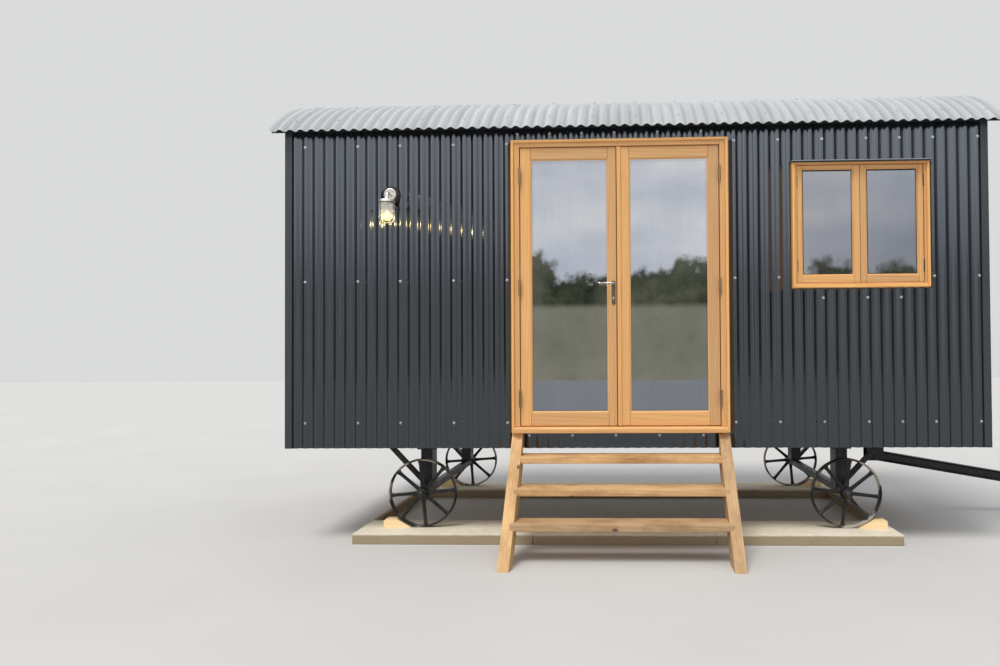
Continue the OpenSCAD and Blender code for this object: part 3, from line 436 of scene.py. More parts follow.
# Mesh tools
class Solid:
    """Collects faces into one piece, with grain and a brightness value for the wood materials, random or set
    to paint light and shade.
    """

    def __init__(self):
        self.bm = bmesh.new()
        self.grain = self.bm.verts.layers.float_vector.new("grain")
        self.tint = self.bm.verts.layers.float.new("tint")

    def paint(self, verts, axis, tint=None):
        shift = Vector([random.uniform(-9, 9) for _ in range(3)])
        tint = random.random() if tint is None else tint
        along = Vector({"x": (1, 0, 0), "y": (0, 1, 0), "z": (0, 0, 1)}.get(axis, axis)).normalized()
        side = along.cross(Vector((0.3, 1, 0.2))).normalized()
        third = along.cross(side)
        for v in verts:
            v[self.grain] = Vector((v.co.dot(side), v.co.dot(third), v.co.dot(along))) + shift
            v[self.tint] = tint

    def board(self, x, y, z, axis="z", bevel=0.002, tint=None):
        """A board with rounded edges, between two places each way."""
        mid = [middle(pair) for pair in (x, y, z)]
        half = [abs(b - a) / 2 for a, b in (x, y, z)]
        b = min(bevel, *[h * 0.45 for h in half])
        verts = {}
        for i in range(8):
            sign = [1 if i >> k & 1 else -1 for k in range(3)]
            for k in range(3):
                inset = [half[j] - (0 if j == k else b) for j in range(3)]
                verts[i, k] = self.bm.verts.new([mid[j] + sign[j] * inset[j] for j in range(3)])
        for k in range(3):
            j, m = [n for n in range(3) if n != k]
            for s in (0, 1):
                ring = [(s << k) | (p << j) | (q << m) for p, q in ((0, 0), (1, 0), (1, 1), (0, 1))]
                self.face([verts[i, k] for i in ring], [s * 2 - 1 if n == k else 0 for n in range(3)])
            for p in (0, 1):
                for q in (0, 1):
                    a, c = (p << j) | (q << m), (p << j) | (q << m) | (1 << k)
                    out = [0, 0, 0]
                    out[j], out[m] = p * 2 - 1, q * 2 - 1
                    self.face([verts[a, j], verts[a, m], verts[c, m], verts[c, j]], out)
        for i in range(8):
            self.face([verts[i, k] for k in range(3)], [1 if i >> k & 1 else -1 for k in range(3)])
        self.paint(verts.values(), axis, tint)

    def put(self, x, y, z, axis="z", bevel=0.002, tint=None):
        """A board measured from the middle of the hut."""
        self.board([MID_X + v for v in x], [MID_Y + v for v in y], z, axis, bevel, tint)

    def face(self, verts, out):
        f = self.bm.faces.new(verts)
        f.normal_update()
        if f.normal.dot(Vector(out)) < 0:
            f.normal_flip()

    def prism(self, outline, a, b, plane="yz", axis="z", bevel=0.002, tint=None):
        """An outline in one plane, measured from the middle of the hut, carried from a to b."""
        place = {"yz": lambda p, d: hut(d, p[0], p[1]),
                 "xz": lambda p, d: hut(p[0], d, p[1]),
                 "xy": lambda p, d: hut(p[0], p[1], d)}[plane]
        other = bmesh.new()
        self.loft(other, [[place(p, d) for p in outline] for d in (a, b)])
        if bevel:
            edges = list(other.edges)
            bmesh.ops.bevel(other, geom=edges, offset=bevel, segments=2, affect="EDGES", profile=0.7)
        self.take(other, axis, tint)

    def loft(self, bm, rings, closed=False):
        """Faces between rings of points, with both ends capped unless the rings close."""
        rings = [[bm.verts.new(p) for p in ring] for ring in rings]
        pairs = list(zip(rings, rings[1:])) + ([(rings[-1], rings[0])] if closed else [])
        for a, b in pairs:
            for i in range(len(a)):
                j = (i + 1) % len(a)
                bm.faces.new((a[i], a[j], b[j], b[i]))
        if not closed:
            bm.faces.new(list(reversed(rings[0])))
            bm.faces.new(rings[-1])
        bmesh.ops.recalc_face_normals(bm, faces=bm.faces)

    def take(self, other, axis="z", tint=None, matrix=None):
        if matrix is not None:
            other.transform(matrix)
        made = {v: self.bm.verts.new(v.co) for v in other.verts}
        for f in other.faces:
            self.bm.faces.new([made[v] for v in f.verts])
        self.paint(made.values(), axis, tint)
        other.free()

    def turned(self, profile, steps, matrix, closed=False):
        """A profile of (radius, height) in millimetres turned round Z."""
        other = bmesh.new()
        rings = []
        for r, h in profile:
            around = [polar(r / 1000, 360 * i / steps) for i in range(steps)] if r > 0.001 else [(0, 0)]
            rings.append([other.verts.new((*p, h / 1000)) for p in around])
        pairs = list(zip(rings, rings[1:])) + ([(rings[-1], rings[0])] if closed else [])
        for a, b in pairs:
            for i in range(steps):
                j = (i + 1) % steps
                quad = [a[i % len(a)], a[j % len(a)], b[j % len(b)], b[i % len(b)]]
                quad = [v for n, v in enumerate(quad) if v not in quad[:n]]
                if len(quad) > 2:
                    other.faces.new(quad)
        bmesh.ops.recalc_face_normals(other, faces=other.faces)
        self.take(other, matrix=matrix)

    def rod(self, path, radius, sides=12, closed=False):
        """A round bar along a path; radius is one number, or one for each point."""
        path = [Vector(p) for p in path]
        n = len(path)
        radii = radius if isinstance(radius, list) else [radius] * n
        normal = None
        rings = []
        for i, p in enumerate(path):
            after, before = ((i + 1) % n, i - 1) if closed else (min(i + 1, n - 1), max(i - 1, 0))
            ahead = (path[after] - path[before]).normalized()
            if normal is None:
                normal = ahead.orthogonal().normalized()
            normal = (normal - ahead * normal.dot(ahead)).normalized()
            side = ahead.cross(normal)
            around = [polar(1, 360 * k / sides) for k in range(sides)]
            rings.append([p + radii[i] * (c * normal + s * side) for c, s in around])
        other = bmesh.new()
        self.loft(other, rings, closed)
        self.take(other)

    def piece(self, name, material, replaces=(), slot=None, sharp=None, body="hut"):
        """The piece's object; edges over the angle sharp stay sharp."""
        mesh = bpy.data.meshes.new(name)
        self.bm.to_mesh(mesh)
        self.bm.free()
        obj = new_object(name, mesh, material)
        mesh.shade_smooth()
        if sharp:
            mesh.set_sharp_from_angle(angle=math.radians(sharp))
        obj.modifiers.new("even normals", "WEIGHTED_NORMAL").keep_sharp = True
        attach(obj, body)
        for node in replaces:
            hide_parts(node)


# Corrugated sheets
(rear_left, rear_right), (rear_low, CREST), (SKIRT, EAVES) = span("rear_cladding")
DEPTH = CREST - rear_low
STEPS_PER_WAVE = 14


def wave(s):
    return -math.cos(2 * math.pi * s / PITCH) * (DEPTH - SHEET) / 2


def stations(first, last, extra=()):
    """Places along a sheet where its columns of vertices stand."""
    count = round((last - first) / PITCH * STEPS_PER_WAVE)
    values = [first + (last - first) * i / count for i in range(count + 1)]
    values += [e for e in extra if first < e < last]
    return sorted(set(round(v, 6) for v in values))


def sheet_mesh(columns, place, bottom, top, holes=(), rows=2):
    """A corrugated sheet; place(s, z) gives the point, holes are (s0, s1, z0, z1)."""
    bm = bmesh.new()
    made = {}

    def vert(s, z):
        key = (round(s, 6), round(z, 6))
        if key not in made:
            made[key] = bm.verts.new(place(s, z))
        return made[key]

    for a, b in zip(columns, columns[1:]):
        mid = (a + b) / 2
        cuts = sorted((z0, z1) for s0, s1, z0, z1 in holes if s0 - 1e-6 < mid < s1 + 1e-6)
        edges = [None, *(z for cut in cuts for z in cut), None]
        for lo, hi in zip(edges[::2], edges[1::2]):
            ladder = []
            for r in range(rows):
                rung = []
                for s in (a, b):
                    start = bottom(s) if lo is None else lo
                    end = top(s) if hi is None else hi
                    rung.append(vert(s, start + (end - start) * r / (rows - 1)))
                ladder.append(rung)
            for (p, q), (t, u) in zip(ladder, ladder[1:]):
                bm.faces.new((p, q, u, t))
    return bm


def sheet_piece(name, bm, material, node, outward):
    bm.normal_update()
    total = sum((f.normal * f.calc_area() for f in bm.faces), Vector())
    if total.dot(Vector(outward)) < 0:
        bmesh.ops.reverse_faces(bm, faces=bm.faces)
    mesh = bpy.data.meshes.new(name)
    bm.to_mesh(mesh)
    bm.free()
    obj = new_object(name, mesh, material)
    mesh.shade_smooth()
    skin = obj.modifiers.new("sheet thickness", "SOLIDIFY")
    skin.thickness = SHEET
    skin.offset = 0
    skin.use_quality_normals = True
    obj.modifiers.new("sharp rims", "EDGE_SPLIT").split_angle = math.radians(50)
    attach(obj, "hut")
    if node:
        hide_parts(node)


def wall_sheet(name, node, first, last, lo, hi, holes=(), side=-1):
    columns = stations(first, last, [v for h in holes for v in h[:2]])
    bm = sheet_mesh(columns, lambda s, z: hut(s, side * (CREST - DEPTH / 2 + wave(s)), z),
                    lambda s: lo, lambda s: hi, holes)
    sheet_piece(name, bm, WALL, node, (0, side, 0))


window_x, window_y, window_z = span("window_frame")
(DOOR_LEFT, DOOR_RIGHT), sill_y, (SILL, SILL_TOP) = span("door_threshold")
DOOR_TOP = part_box("door_head")[1].z
left_end = span("front_cladding_left")[0][0]
right_end = span("front_cladding_right")[0][1]
wall_sheet("wall_sheet_left", "front_cladding_left", left_end, DOOR_LEFT, SKIRT, EAVES)
wall_sheet("wall_sheet_right", "front_cladding_right", DOOR_RIGHT, right_end, SKIRT, EAVES,
           [(*window_x, *window_z)])
wall_sheet("wall_sheet_over_door", "front_cladding_at_door", DOOR_LEFT, DOOR_RIGHT, DOOR_TOP, EAVES)
wall_sheet("wall_sheet_under_door", None, DOOR_LEFT, DOOR_RIGHT, SKIRT, SILL)
wall_sheet("wall_sheet_rear", "rear_cladding", rear_left, rear_right, SKIRT, EAVES, (), 1)


def roof_arc():
    """Centre height, middle radius and half angle of the roof, from the box of its packed sheet."""
    low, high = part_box("roof_sheet")
    half_chord, rise = (high.y - low.y) / 2, high.z - low.z
    least, most = half_chord, 4 * half_chord
    for _ in range(60):
        radius = (least + most) / 2
        angle = math.asin(half_chord / (radius + DEPTH / 2))
        fall = (radius + DEPTH / 2) - (radius - DEPTH / 2) * math.cos(angle)
        if fall > rise:
            least = radius
        else:
            most = radius
    return high.z - DEPTH / 2 - radius, radius, angle


low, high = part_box("roof_sheet")
ROOF_REACH = (high.x - low.x) / 2 - 0.0001
ROOF_Z, ROOF_R, ROOF_HALF = roof_arc()


def roof_place(s, turn):
    r = ROOF_R + wave(s)
    return hut(s, r * math.sin(turn), ROOF_Z + r * math.cos(turn))


bm = sheet_mesh(stations(-ROOF_REACH, ROOF_REACH), roof_place,
                lambda s: -ROOF_HALF, lambda s: ROOF_HALF, rows=41)
sheet_piece("roof_sheet_smooth", bm, ROOF, "roof_sheet", UP)

low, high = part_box("end_claddings")
END_X, end_y = (high.x - low.x) / 2, (high.y - low.y) / 2
GABLE_R = ROOF_R - DEPTH / 2 - (ROOF_Z + ROOF_R - DEPTH / 2 - high.z)


def gable_top(y):
    return ROOF_Z + math.sqrt(GABLE_R * GABLE_R - y * y)


for side, name, node in ((-1, "left", "end_claddings"), (1, "right", None)):
    bm = sheet_mesh(stations(-end_y, end_y), lambda s, z: hut(side * (END_X - DEPTH / 2 + wave(s)), s, z),
                    lambda s: SKIRT, gable_top)
    sheet_piece("end_sheet_" + name, bm, WALL, node, (side, 0, 0))

# Carried-over CAD nodes
LOOKS = (
    (LINING, "front_wall_left front_wall_right front_wall_at_door rear_wall left_end_wall right_end_wall"
             " wall_plates floor"),
    (ROOF_BOARDS, "roof_boards"),
    (BLACK, "chassis_rails chassis_cross_members left_axle_beam right_axle_beam axle_struts drawbar_bracket"
            " drawbar front_left_wheel front_right_wheel rear_left_wheel rear_right_wheel"),
    (TRIM, "corner_trims"),
    (DRIP, "window_drip"),
    (CONCRETE, "plinth_long_strips"),
    (EDGING, "plinth_end_boards"),
    (OAK, "door_jambs door_head door_threshold left_door_leaf right_door_leaf window_frame window_casements"),
    (STEP_OAK, "step_stringers step_treads"),
    (CHOCK, "wheel_chocks"),
    (GLAZING, "left_door_glass right_door_glass"),
    (WINDOW_GLAZING, "window_panes"),
    (LAMP_GLASS, "lamp_glass"),
    (POLISHED, "lamp_body lamp_cage"),
    (BULB, "lamp_bulb"),
    (HINGE, "door_hinge_knuckles left_door_flaps right_door_flaps"),
    (BRONZE, "door_handle_plates door_handle"),
)
for material, names in LOOKS:
    for name in names.split():
        nodes[name].data.materials.clear()
        nodes[name].data.materials.append(material)

# Washer-headed roofing screws, on the crests nearest to where the photograph has them
SCREW_ROWS = (2.823, 1.857, 0.851)
HEAD = [(0, 5.2), (3.99, 5.2), (5.225, 4), (5.51, 1.6), (9.5, 1.2), (9.5, 0), (0, 0)]
ROOF_HEAD = [(0, 3.2), (4.5, 3.2), (5.5, 1.6), (9, 1.2), (9, 0), (0, 0)]
screws = Solid()


def crest_at(x):
    return (math.floor(x / PITCH) + 0.5) * PITCH


columns = [(n - 31.96) * PITCH for n in (1, 6, 10, 15, 20, 41, 45, 49, 53, 56, 59, 63)]
front = [(x, z) for z in SCREW_ROWS for x in columns
         if not (window_z[0] < z < window_z[1] and window_x[0] < x < window_x[1])]
front += [(x, 1.712) for x in (1.36, 1.66, 1.89)]
front += [(x, 0.762) for x in (-0.71, -0.41, -0.10, 0.20, 0.50)]
front += [(x, 2.895) for x in (-0.80, -0.57, -0.35, -0.12, 0.19, 0.49)]
for x, z in front:
    screws.turned(HEAD, 12, turn_to(OUT, hut(crest_at(x), -CREST, z)))
for z in SCREW_ROWS:
    for k in range(-31, 32, 5):
        screws.turned(HEAD, 12, turn_to((0, 1, 0), hut((k + 0.5) * PITCH, CREST, z)))
for side in (-1, 1):
    for z in SCREW_ROWS:
        for k in (-11, -7, -3, 2, 6, 10):
            screws.turned(HEAD, 12, turn_to((side, 0, 0), hut(side * END_X, (k + 0.5) * PITCH, z)))
screws.piece("wall_screws", SCREW, (), "steel", 40)

roof_screws = Solid()
for turn in (-0.66, -0.42, -0.05, 0.42, 0.66):
    out = Vector((0, math.sin(turn), math.cos(turn)))
    # The screws at the crown are sunk so that they stay inside the CAD box
    sink = 0.0034 if abs(turn) < 0.1 else 0
    for k in range(-32, 33, 4):
        place = roof_place((k + 0.5) * PITCH, turn) + out * (SHEET / 2 - sink)
        roof_screws.turned(ROOF_HEAD, 10, turn_to(out, place))
roof_screws.piece("roof_screws", plain("roof_screw_caps", (0.52, 0.53, 0.52), 0.5), (), "steel", 40)

# Door frame: a proud lining, a jamb behind it and a stop that the leaves close against
FRAME_X, (LINING_Y, BACK_Y), (SILL_LOW, HEAD_LOW) = span("door_jambs")
LEFT_X, LEAF_Y, LEAF_Z = span("left_door_leaf")
RIGHT_X = span("right_door_leaf")[0]
SETBACK = 0.013
FACE_Y = LINING_Y + SETBACK
LINER, JAMB, STOP = 0.020, 0.058, 0.015
STOP_Y = (LEAF_Y[1] + 0.005, BACK_Y)


def inside(pair, margin):
    return pair[0] + margin, pair[1] - margin


frame_wood = Solid()
# Set brightness values paint light and shade: the proud linings paler, as if lit, the jambs and stops darker
# the deeper they sit, and the head lining darker than the side ones
for side, edge in ((1, FRAME_X[0]), (-1, FRAME_X[1])):
    for a, b, y, z, bevel, tint in (
            (0, LINER, (LINING_Y, BACK_Y), (SILL_LOW, DOOR_TOP), 0.003, 1.25),
            (LINER, JAMB, (FACE_Y, BACK_Y), (SILL_TOP, DOOR_TOP - LINER), 0.002, 0.45),
            (JAMB, JAMB + STOP, STOP_Y, (SILL_TOP, HEAD_LOW), 0.002, 0.3)):
        frame_wood.put(ordered(edge + side * a, edge + side * b), y, z, "z", bevel, tint)
frame_wood.put(inside(FRAME_X, LINER), (LINING_Y, BACK_Y), (DOOR_TOP - LINER, DOOR_TOP), "x", 0.003, 0.8)
frame_wood.put(inside(FRAME_X, JAMB), (FACE_Y, BACK_Y), (HEAD_LOW, DOOR_TOP - LINER), "x", 0.002, 0.5)
frame_wood.put(inside(FRAME_X, JAMB + STOP), STOP_Y, (HEAD_LOW - STOP, HEAD_LOW), "x", 0.002, 0.3)
frame_wood.piece("door_frame_wood", OAK, ("door_jambs", "door_head"), "oak", 50)

sill_wood = Solid()
front, back = sill_y
sill_wood.prism([(front + 0.004, SILL), (front, SILL + 0.006), (front, SILL_TOP - 0.014),
                 (front + 0.010, SILL_TOP - 0.004), (FACE_Y + 0.018, SILL_TOP), (back, SILL_TOP),
                 (back, SILL), (front + 0.022, SILL), (front + 0.021, SILL + 0.005),
                 (front + 0.014, SILL + 0.005), (front + 0.013, SILL)],
                DOOR_LEFT, DOOR_RIGHT, "yz", "x", 0, 0.75)
sill_wood.piece("door_threshold_wood", OAK, ("door_threshold",), "oak", 35)

# Leaves and casements
BEAD = 0.012
GROOVE = 0.0012


def leaf(solid, x, z, y, left, right, bottom, top):
    """Stiles run through, rails between them, and sloped beads hold the glass on both sides."""
    left, right, bottom, top = left - BEAD, right - BEAD, bottom - BEAD, top - BEAD
    inner = (x[0] + left, x[1] - right, z[0] + bottom, z[1] - top)
    solid.put((x[0], inner[0]), y, z, "z", 0.0025)
    solid.put((inner[1], x[1]), y, z, "z", 0.0025)
    for rail in ((z[0], inner[2]), (inner[3], z[1])):
        solid.put(inside(inner[:2], GROOVE), inside(y, 0.0006), rail, "x")
    mid = middle(y)
    # The beads' set brightness values paint light and shade: the top bead darker under the rail, the right
    # beads darker than the left
    for face, back in ((y[0] + 0.004, mid - 0.0095), (y[1] - 0.004, mid + 0.0095)):
        for edge, way, tint in ((inner[0], 1, 0.9), (inner[1], -1, 0.7)):
            plan = ((edge, face), (edge, back), (edge + way * BEAD, back), (edge + way * 0.004, face))
            solid.prism(plan, inner[2], inner[3], "xy", "z", 0, tint)
        for edge, way, tint in ((inner[2], 1, 0.95), (inner[3], -1, 0.5)):
            plan = ((face, edge), (back, edge), (back, edge + way * BEAD), (face, edge + way * 0.004))
            solid.prism(plan, *inside(inner[:2], BEAD * 0.6), "yz", "x", 0, tint)
    return inner


def seal(name, body, inner, y):
    """The dark edge seal seen round a sealed pane; its head strip is widened into painted shadow under the
    rail above.
    """
    strip = Solid()
    w = 0.0035
    (left, right), (bottom, top) = inside(inner[:2], BEAD), inside(inner[2:], BEAD)
    for face in (y - 0.0115, y + 0.0095):
        # The head strip is 2.3 times as wide as the others: the extra width is painted shadow under the rail
        # above
        for x, z in (((left, left + w), (bottom, top)), ((right - w, right), (bottom, top)),
                     ((left, right), (bottom, bottom + w)), ((left, right), (top - w * 2.3, top))):
            strip.put(x, (face, face + 0.002), z, "z", 0.0005)
    strip.piece(name, BLACK_RUBBER_AND_SHADOW, body=body)


STILE, MEET, TOP_RAIL, BOTTOM_RAIL, STRIP, COVER = 0.085, 0.069, 0.092, 0.104, 0.028, 0.010
THICK = 0.044
left_leaf, right_leaf = Solid(), Solid()
left_sight = leaf(left_leaf, LEFT_X, LEAF_Z, LEAF_Y, STILE, MEET, BOTTOM_RAIL, TOP_RAIL)
left_leaf.piece("left_leaf_wood", OAK, ("left_door_leaf",), "oak", 40, "left_door")
face_y = (LEAF_Y[1] - THICK, LEAF_Y[1])
right_sight = leaf(right_leaf, RIGHT_X, LEAF_Z, face_y, MEET + STRIP, STILE, BOTTOM_RAIL, TOP_RAIL)
right_leaf.put((RIGHT_X[0], RIGHT_X[0] + STRIP), (face_y[0] - COVER, face_y[0] + 0.001), LEAF_Z,
               "z", 0.004, 0.8)
right_leaf.piece("right_leaf_wood", OAK, ("right_door_leaf",), "oak", 40, "right_door")
seal("left_glass_seal_and_shadow", "left_door", left_sight, middle(face_y))
seal("right_glass_seal_and_shadow", "right_door", right_sight, middle(face_y))

# Finials on the hinges
PIN_Y = -CREST - 0.027 - 0.008
LOW_HINGE, HIGH_HINGE, HALF_KNUCKLE = 0.191, 0.200, 0.0525
middle_hinge = LEAF_Z[0] + LOW_HINGE + 0.4965 * (LEAF_Z[1] - LEAF_Z[0] - LOW_HINGE - HIGH_HINGE)
tips = Solid()
for x in inside(FRAME_X, JAMB + 0.0025):
    for z in (LEAF_Z[0] + LOW_HINGE, middle_hinge, LEAF_Z[1] - HIGH_HINGE):
        for side in (1, -1):
            tips.turned([(0, 14.5), (2.2, 14), (4.2, 11.5), (4.5, 9.2), (3, 6.8), (3.4, 5.5), (6.8, 4.2),
                         (7, 1.2), (6, 0)], 14, turn_to((0, 0, side), hut(x, PIN_Y, z + side * HALF_KNUCKLE)))
tips.piece("hinge_finials", HINGE, (), "steel", 60)

# Handle: plates, keyhole and lever, on both faces of the leaf
HANDLE_X = LEFT_X[1] - 0.021
LEVER_Z = LEAF_Z[0] + 0.994
KEY_Z = LEVER_Z - 0.107
PLATE_LENGTH, PLATE_HALF, PLATE_THICK = 0.169, 0.0135, 0.0036
LEVER_REACH, LEVER_BEND, LEVER_LENGTH = 0.042, 0.014, 0.105
plate_low, plate_high = LEVER_Z - PLATE_LENGTH * 0.88, LEVER_Z + PLATE_LENGTH * 0.12
plates, keys, lever, slots = Solid(), Solid(), Solid(), Solid()
for side in (-1, 1):
    face = middle(LEAF_Y) + side * THICK / 2
    plate_face = face + side * PLATE_THICK

    def on_plate(z, y=plate_face):
        return turn_to((0, side, 0), hut(HANDLE_X, y, z))

    outline = []
    for first, centre in ((0, plate_high - PLATE_HALF), (180, plate_low + PLATE_HALF)):
        for a in range(first, first + 181, 15):
            x, z = polar(PLATE_HALF, a)
            outline.append((HANDLE_X + x, centre + z))
    plates.prism(outline, face + side * 0.0002, plate_face, "xz", "z", 0.0008)
    for z in (plate_high - 0.008, plate_low + 0.009):
        plates.turned([(0, 1.2), (3, 1), (3.6, 0)], 12, on_plate(z))
    keys.turned([(0, 6.2), (6.6, 6.2), (7.8, 5), (8, 0), (0, 0)], 24, on_plate(KEY_Z))
    keys.turned([(10, 0), (10, 1.8), (8.5, 2.6), (8.2, 0)], 24, on_plate(KEY_Z))
    lever.turned([(0, 8.2), (8.6, 8), (10.8, 5.6), (10.8, 0.4), (0, 0.4)], 28,
                 on_plate(LEVER_Z, face + side * 0.0040))
    straight = LEVER_REACH - LEVER_BEND
    path = [(0, -0.018), (0, straight)]
    for a in range(15, 91, 15):
        x, y = polar(LEVER_BEND, a)
        path.append((LEVER_BEND - x, straight + y))
    for k in range(1, 9):
        bow = 0.0025 * math.sin(k / 8 * math.pi)
        path.append((LEVER_BEND + (LEVER_LENGTH - 0.018) * k / 8, LEVER_REACH - bow))
    path += [(LEVER_LENGTH - 0.0015, LEVER_REACH), (LEVER_LENGTH, LEVER_REACH)]
    radii = [0.0066] * 8 + [0.0068 + 0.0010 * k / 8 for k in range(1, 9)] + [0.0062, 0.0030]
    lever.rod([hut(HANDLE_X - x, face + side * y, LEVER_Z) for x, y in path], radii, 18)
plates.piece("handle_plates_bronze", BRONZE, ("door_handle_plates",), "steel", 35, "left_door")
keys.piece("lock_cylinders", POLISHED, (), "steel", 35, "left_door")
# Very dark slots on the plates: painted shade standing in for the openings of the keyholes
for side in (-1, 1):
    face = middle(LEAF_Y) + side * (THICK / 2 + PLATE_THICK + 0.0064)
    slots.put((HANDLE_X - 0.0011, HANDLE_X + 0.0011), (face - 0.0004, face + 0.0004),
              (KEY_Z - 0.0052, KEY_Z + 0.0030), "z", 0.0001)
slots.piece("lock_keyholes", BLACK_RUBBER_AND_SHADOW, body="left_door")
lever.piece("lever_bar", POLISHED, ("door_handle",), "steel", 50, "lever_handle")

# Window
FRAME, WIN_LINER, WIN_HEAD, SILL_EXTRA, GAP = 0.034, 0.018, 0.020, 0.005, 0.003
left, right = window_x
bottom, top = window_z
inner_y = (window_y[0] + SETBACK, window_y[1])
between, opening = inside(window_x, WIN_LINER), inside(window_x, FRAME)
frame_wood = Solid()
# Set brightness values paint light and shade: the proud liners and sill paler, as if lit, the left liner
# most, the head liner darker, and the frame set back behind them darker still
for x, y, z, axis, bevel, tint in (
        ((left, left + WIN_LINER), window_y, window_z, "z", 0.0025, 1.35),
        ((right - WIN_LINER, right), window_y, window_z, "z", 0.0025, 1.2),
        ((left + WIN_LINER, left + FRAME), inner_y, inside(window_z, WIN_LINER), "z", 0.002, 0.35),
        ((right - FRAME, right - WIN_LINER), inner_y, inside(window_z, WIN_LINER), "z", 0.002, 0.35),
        (between, window_y, (bottom, bottom + WIN_LINER + SILL_EXTRA), "x", 0.003, 1.35),
        (between, window_y, (top - WIN_LINER, top), "x", 0.0025, 0.6),
        (opening, inner_y, (bottom + WIN_LINER + SILL_EXTRA, bottom + FRAME), "x", 0.002, 0.4),
        (opening, inner_y, (top - WIN_HEAD, top - WIN_LINER), "x", 0.0005, 0.4)):
    frame_wood.put(x, y, z, axis, bevel, tint)
frame_wood.piece("window_frame_wood", OAK, ("window_frame",), "oak", 40)

case_x, case_y, case_z = span("window_casements")
meet = middle(case_x)
casements = Solid()
sights = [leaf(casements, x, inside(case_z, GAP), case_y, left, right, 0.059, 0.030)
          for x, left, right in (((case_x[0] + GAP, meet - GAP / 2), 0.042, 0.051),
                                 ((meet + GAP / 2, case_x[1] - GAP), 0.051, 0.042))]
casements.piece("casement_wood", OAK, ("window_casements",), "oak", 40)
for sight, name in zip(sights, ("left_casement_seal_and_shadow", "right_casement_seal_and_shadow")):
    seal(name, "hut", sight, middle(case_y))
backing = Solid()
LAP = 0.02
for x, z, axis in ((case_x, (case_z[0], case_z[0] + LAP), "x"), (case_x, (case_z[1] - LAP, case_z[1]), "x"),
                   ((case_x[0], case_x[0] + LAP), case_z, "z"), ((case_x[1] - LAP, case_x[1]), case_z, "z"),
                   ((meet - LAP, meet + LAP), case_z, "z")):
    backing.put(x, (case_y[1] - 0.010, case_y[1] - 0.006), z, axis, 0.0005)
backing.piece("casement_weather_seal", BLACK_RUBBER_AND_SHADOW)

hinges = Solid()
half_hinge = [(0, 42), (3, 42), (4.6, 40), (4.6, 14.5), (3.8, 14), (3.8, 13), (4.6, 12.5)]
for x, side in ((case_x[0] + GAP / 2, 1), (case_x[1] - GAP / 2, -1)):
    for z in (window_z[0] + 0.150, window_z[1] - 0.135):
        hinges.turned(half_hinge + [(r, -h) for r, h in reversed(half_hinge)], 14,
                      turn_to(UP, hut(x, case_y[0] - 0.0035, z)))
        hinges.put(ordered(x + side * 0.0015, x + side * 0.0022), (case_y[0] - 0.003, case_y[0] + 0.02),
                   (z - 0.036, z + 0.036), "z", 0.0002)
hinges.piece("window_hinges", BLACK, (), "steel", 50)

strip, drip_shadow = Solid(), Solid()
drip_x, (y0, y1), (z0, z1) = span("window_drip")
strip.prism([(y0, z0 - 0.001), (y0 + 0.0015, z0 - 0.001), (y0 + 0.0015, z1 - 0.0022), (y1, z1 + 0.0026),
             (y1, z1 + 0.0042), (y0, z1 - 0.0006)], *drip_x, "yz", "x", 0)
strip.piece("window_drip_strip", DRIP, ("window_drip",), "trim_grey", 30)
# A very dark strip under the drip strip: painted shadow over the window head
drip_shadow.put(drip_x, (y0 + 0.0004, y0 + 0.0016), (z0 - 0.012, z0 - 0.0012), "x", 0.0004)
drip_shadow.piece("window_drip_shadow", BLACK_RUBBER_AND_SHADOW)

# Steps
TREAD_RISE, TREAD_RUN, TREAD_DEPTH, TREAD_THICK, FIRST_TREAD = 0.190, 0.180, 0.195, 0.048, 0.150
tread_x, _, (_, tread_top) = span("step_treads")
treads, stringers = Solid(), Solid()
# Set brightness values paint shade: each lower tread darker, the lowest most
for i, tint in enumerate((0.95, 0.60, -0.25)):
    z, y = tread_top - i * TREAD_RISE, -CREST - FIRST_TREAD - i * TREAD_RUN
    treads.put(tread_x, (y, y + TREAD_DEPTH), (z - TREAD_THICK, z), "x", 0.0045, tint)
treads.piece("tread_boards", STEP_OAK, ("step_treads",), "step_oak", 60)

STRINGER_THICK, FOOT_LENGTH = 0.075, 0.200
(left, right), (foot, head), (_, top) = span("step_stringers")
slope = (0, head - foot, top)
cut = top - FOOT_LENGTH * top / (head - foot)
# Set brightness values paint light and shade: the left stringer paler, as if lit, the right one darker, as if
# in shade
for x, tint in (((left, left + STRINGER_THICK), 0.90), ((right - STRINGER_THICK, right), 0.05)):
    outline = [(foot, 0), (foot + FOOT_LENGTH, 0), (head, cut), (head, top)]
    stringers.prism(outline, *x, "yz", slope, 0.004, tint)
stringers.piece("stringer_boards", STEP_OAK, ("step_stringers",), "step_oak", 50)

# Slabs, edging and chocks
SLABS, STRIP_WIDTH, JOINT, EDGE_THICK = 3, 0.450, 0.0008, 0.034
slab_x, (_, slab_y), (_, slab_top) = span("plinth_long_strips")
slabs, edging, chocks = Solid(), Solid(), Solid()
for side in (-1, 1):
    across = ordered(side * slab_y, side * (slab_y - STRIP_WIDTH))
    for i in range(SLABS):
        a, b = (slab_x[0] + (slab_x[1] - slab_x[0]) * k / SLABS for k in (i, i + 1))
        slabs.put((a + JOINT, b - JOINT), across, (0.0, slab_top), "x", 0.004)
slabs.piece("slab_strips", CONCRETE, ("plinth_long_strips",), "slab", 40)
(left, right), edge_y, (_, top) = span("plinth_end_boards")
for x in ((left, left + EDGE_THICK), (right - EDGE_THICK, right)):
    edging.put(x, edge_y, (0.0, top), "y", 0.003, 0.6)
edging.piece("edging_boards", EDGING, ("plinth_end_boards",), "chock_wood", 40)

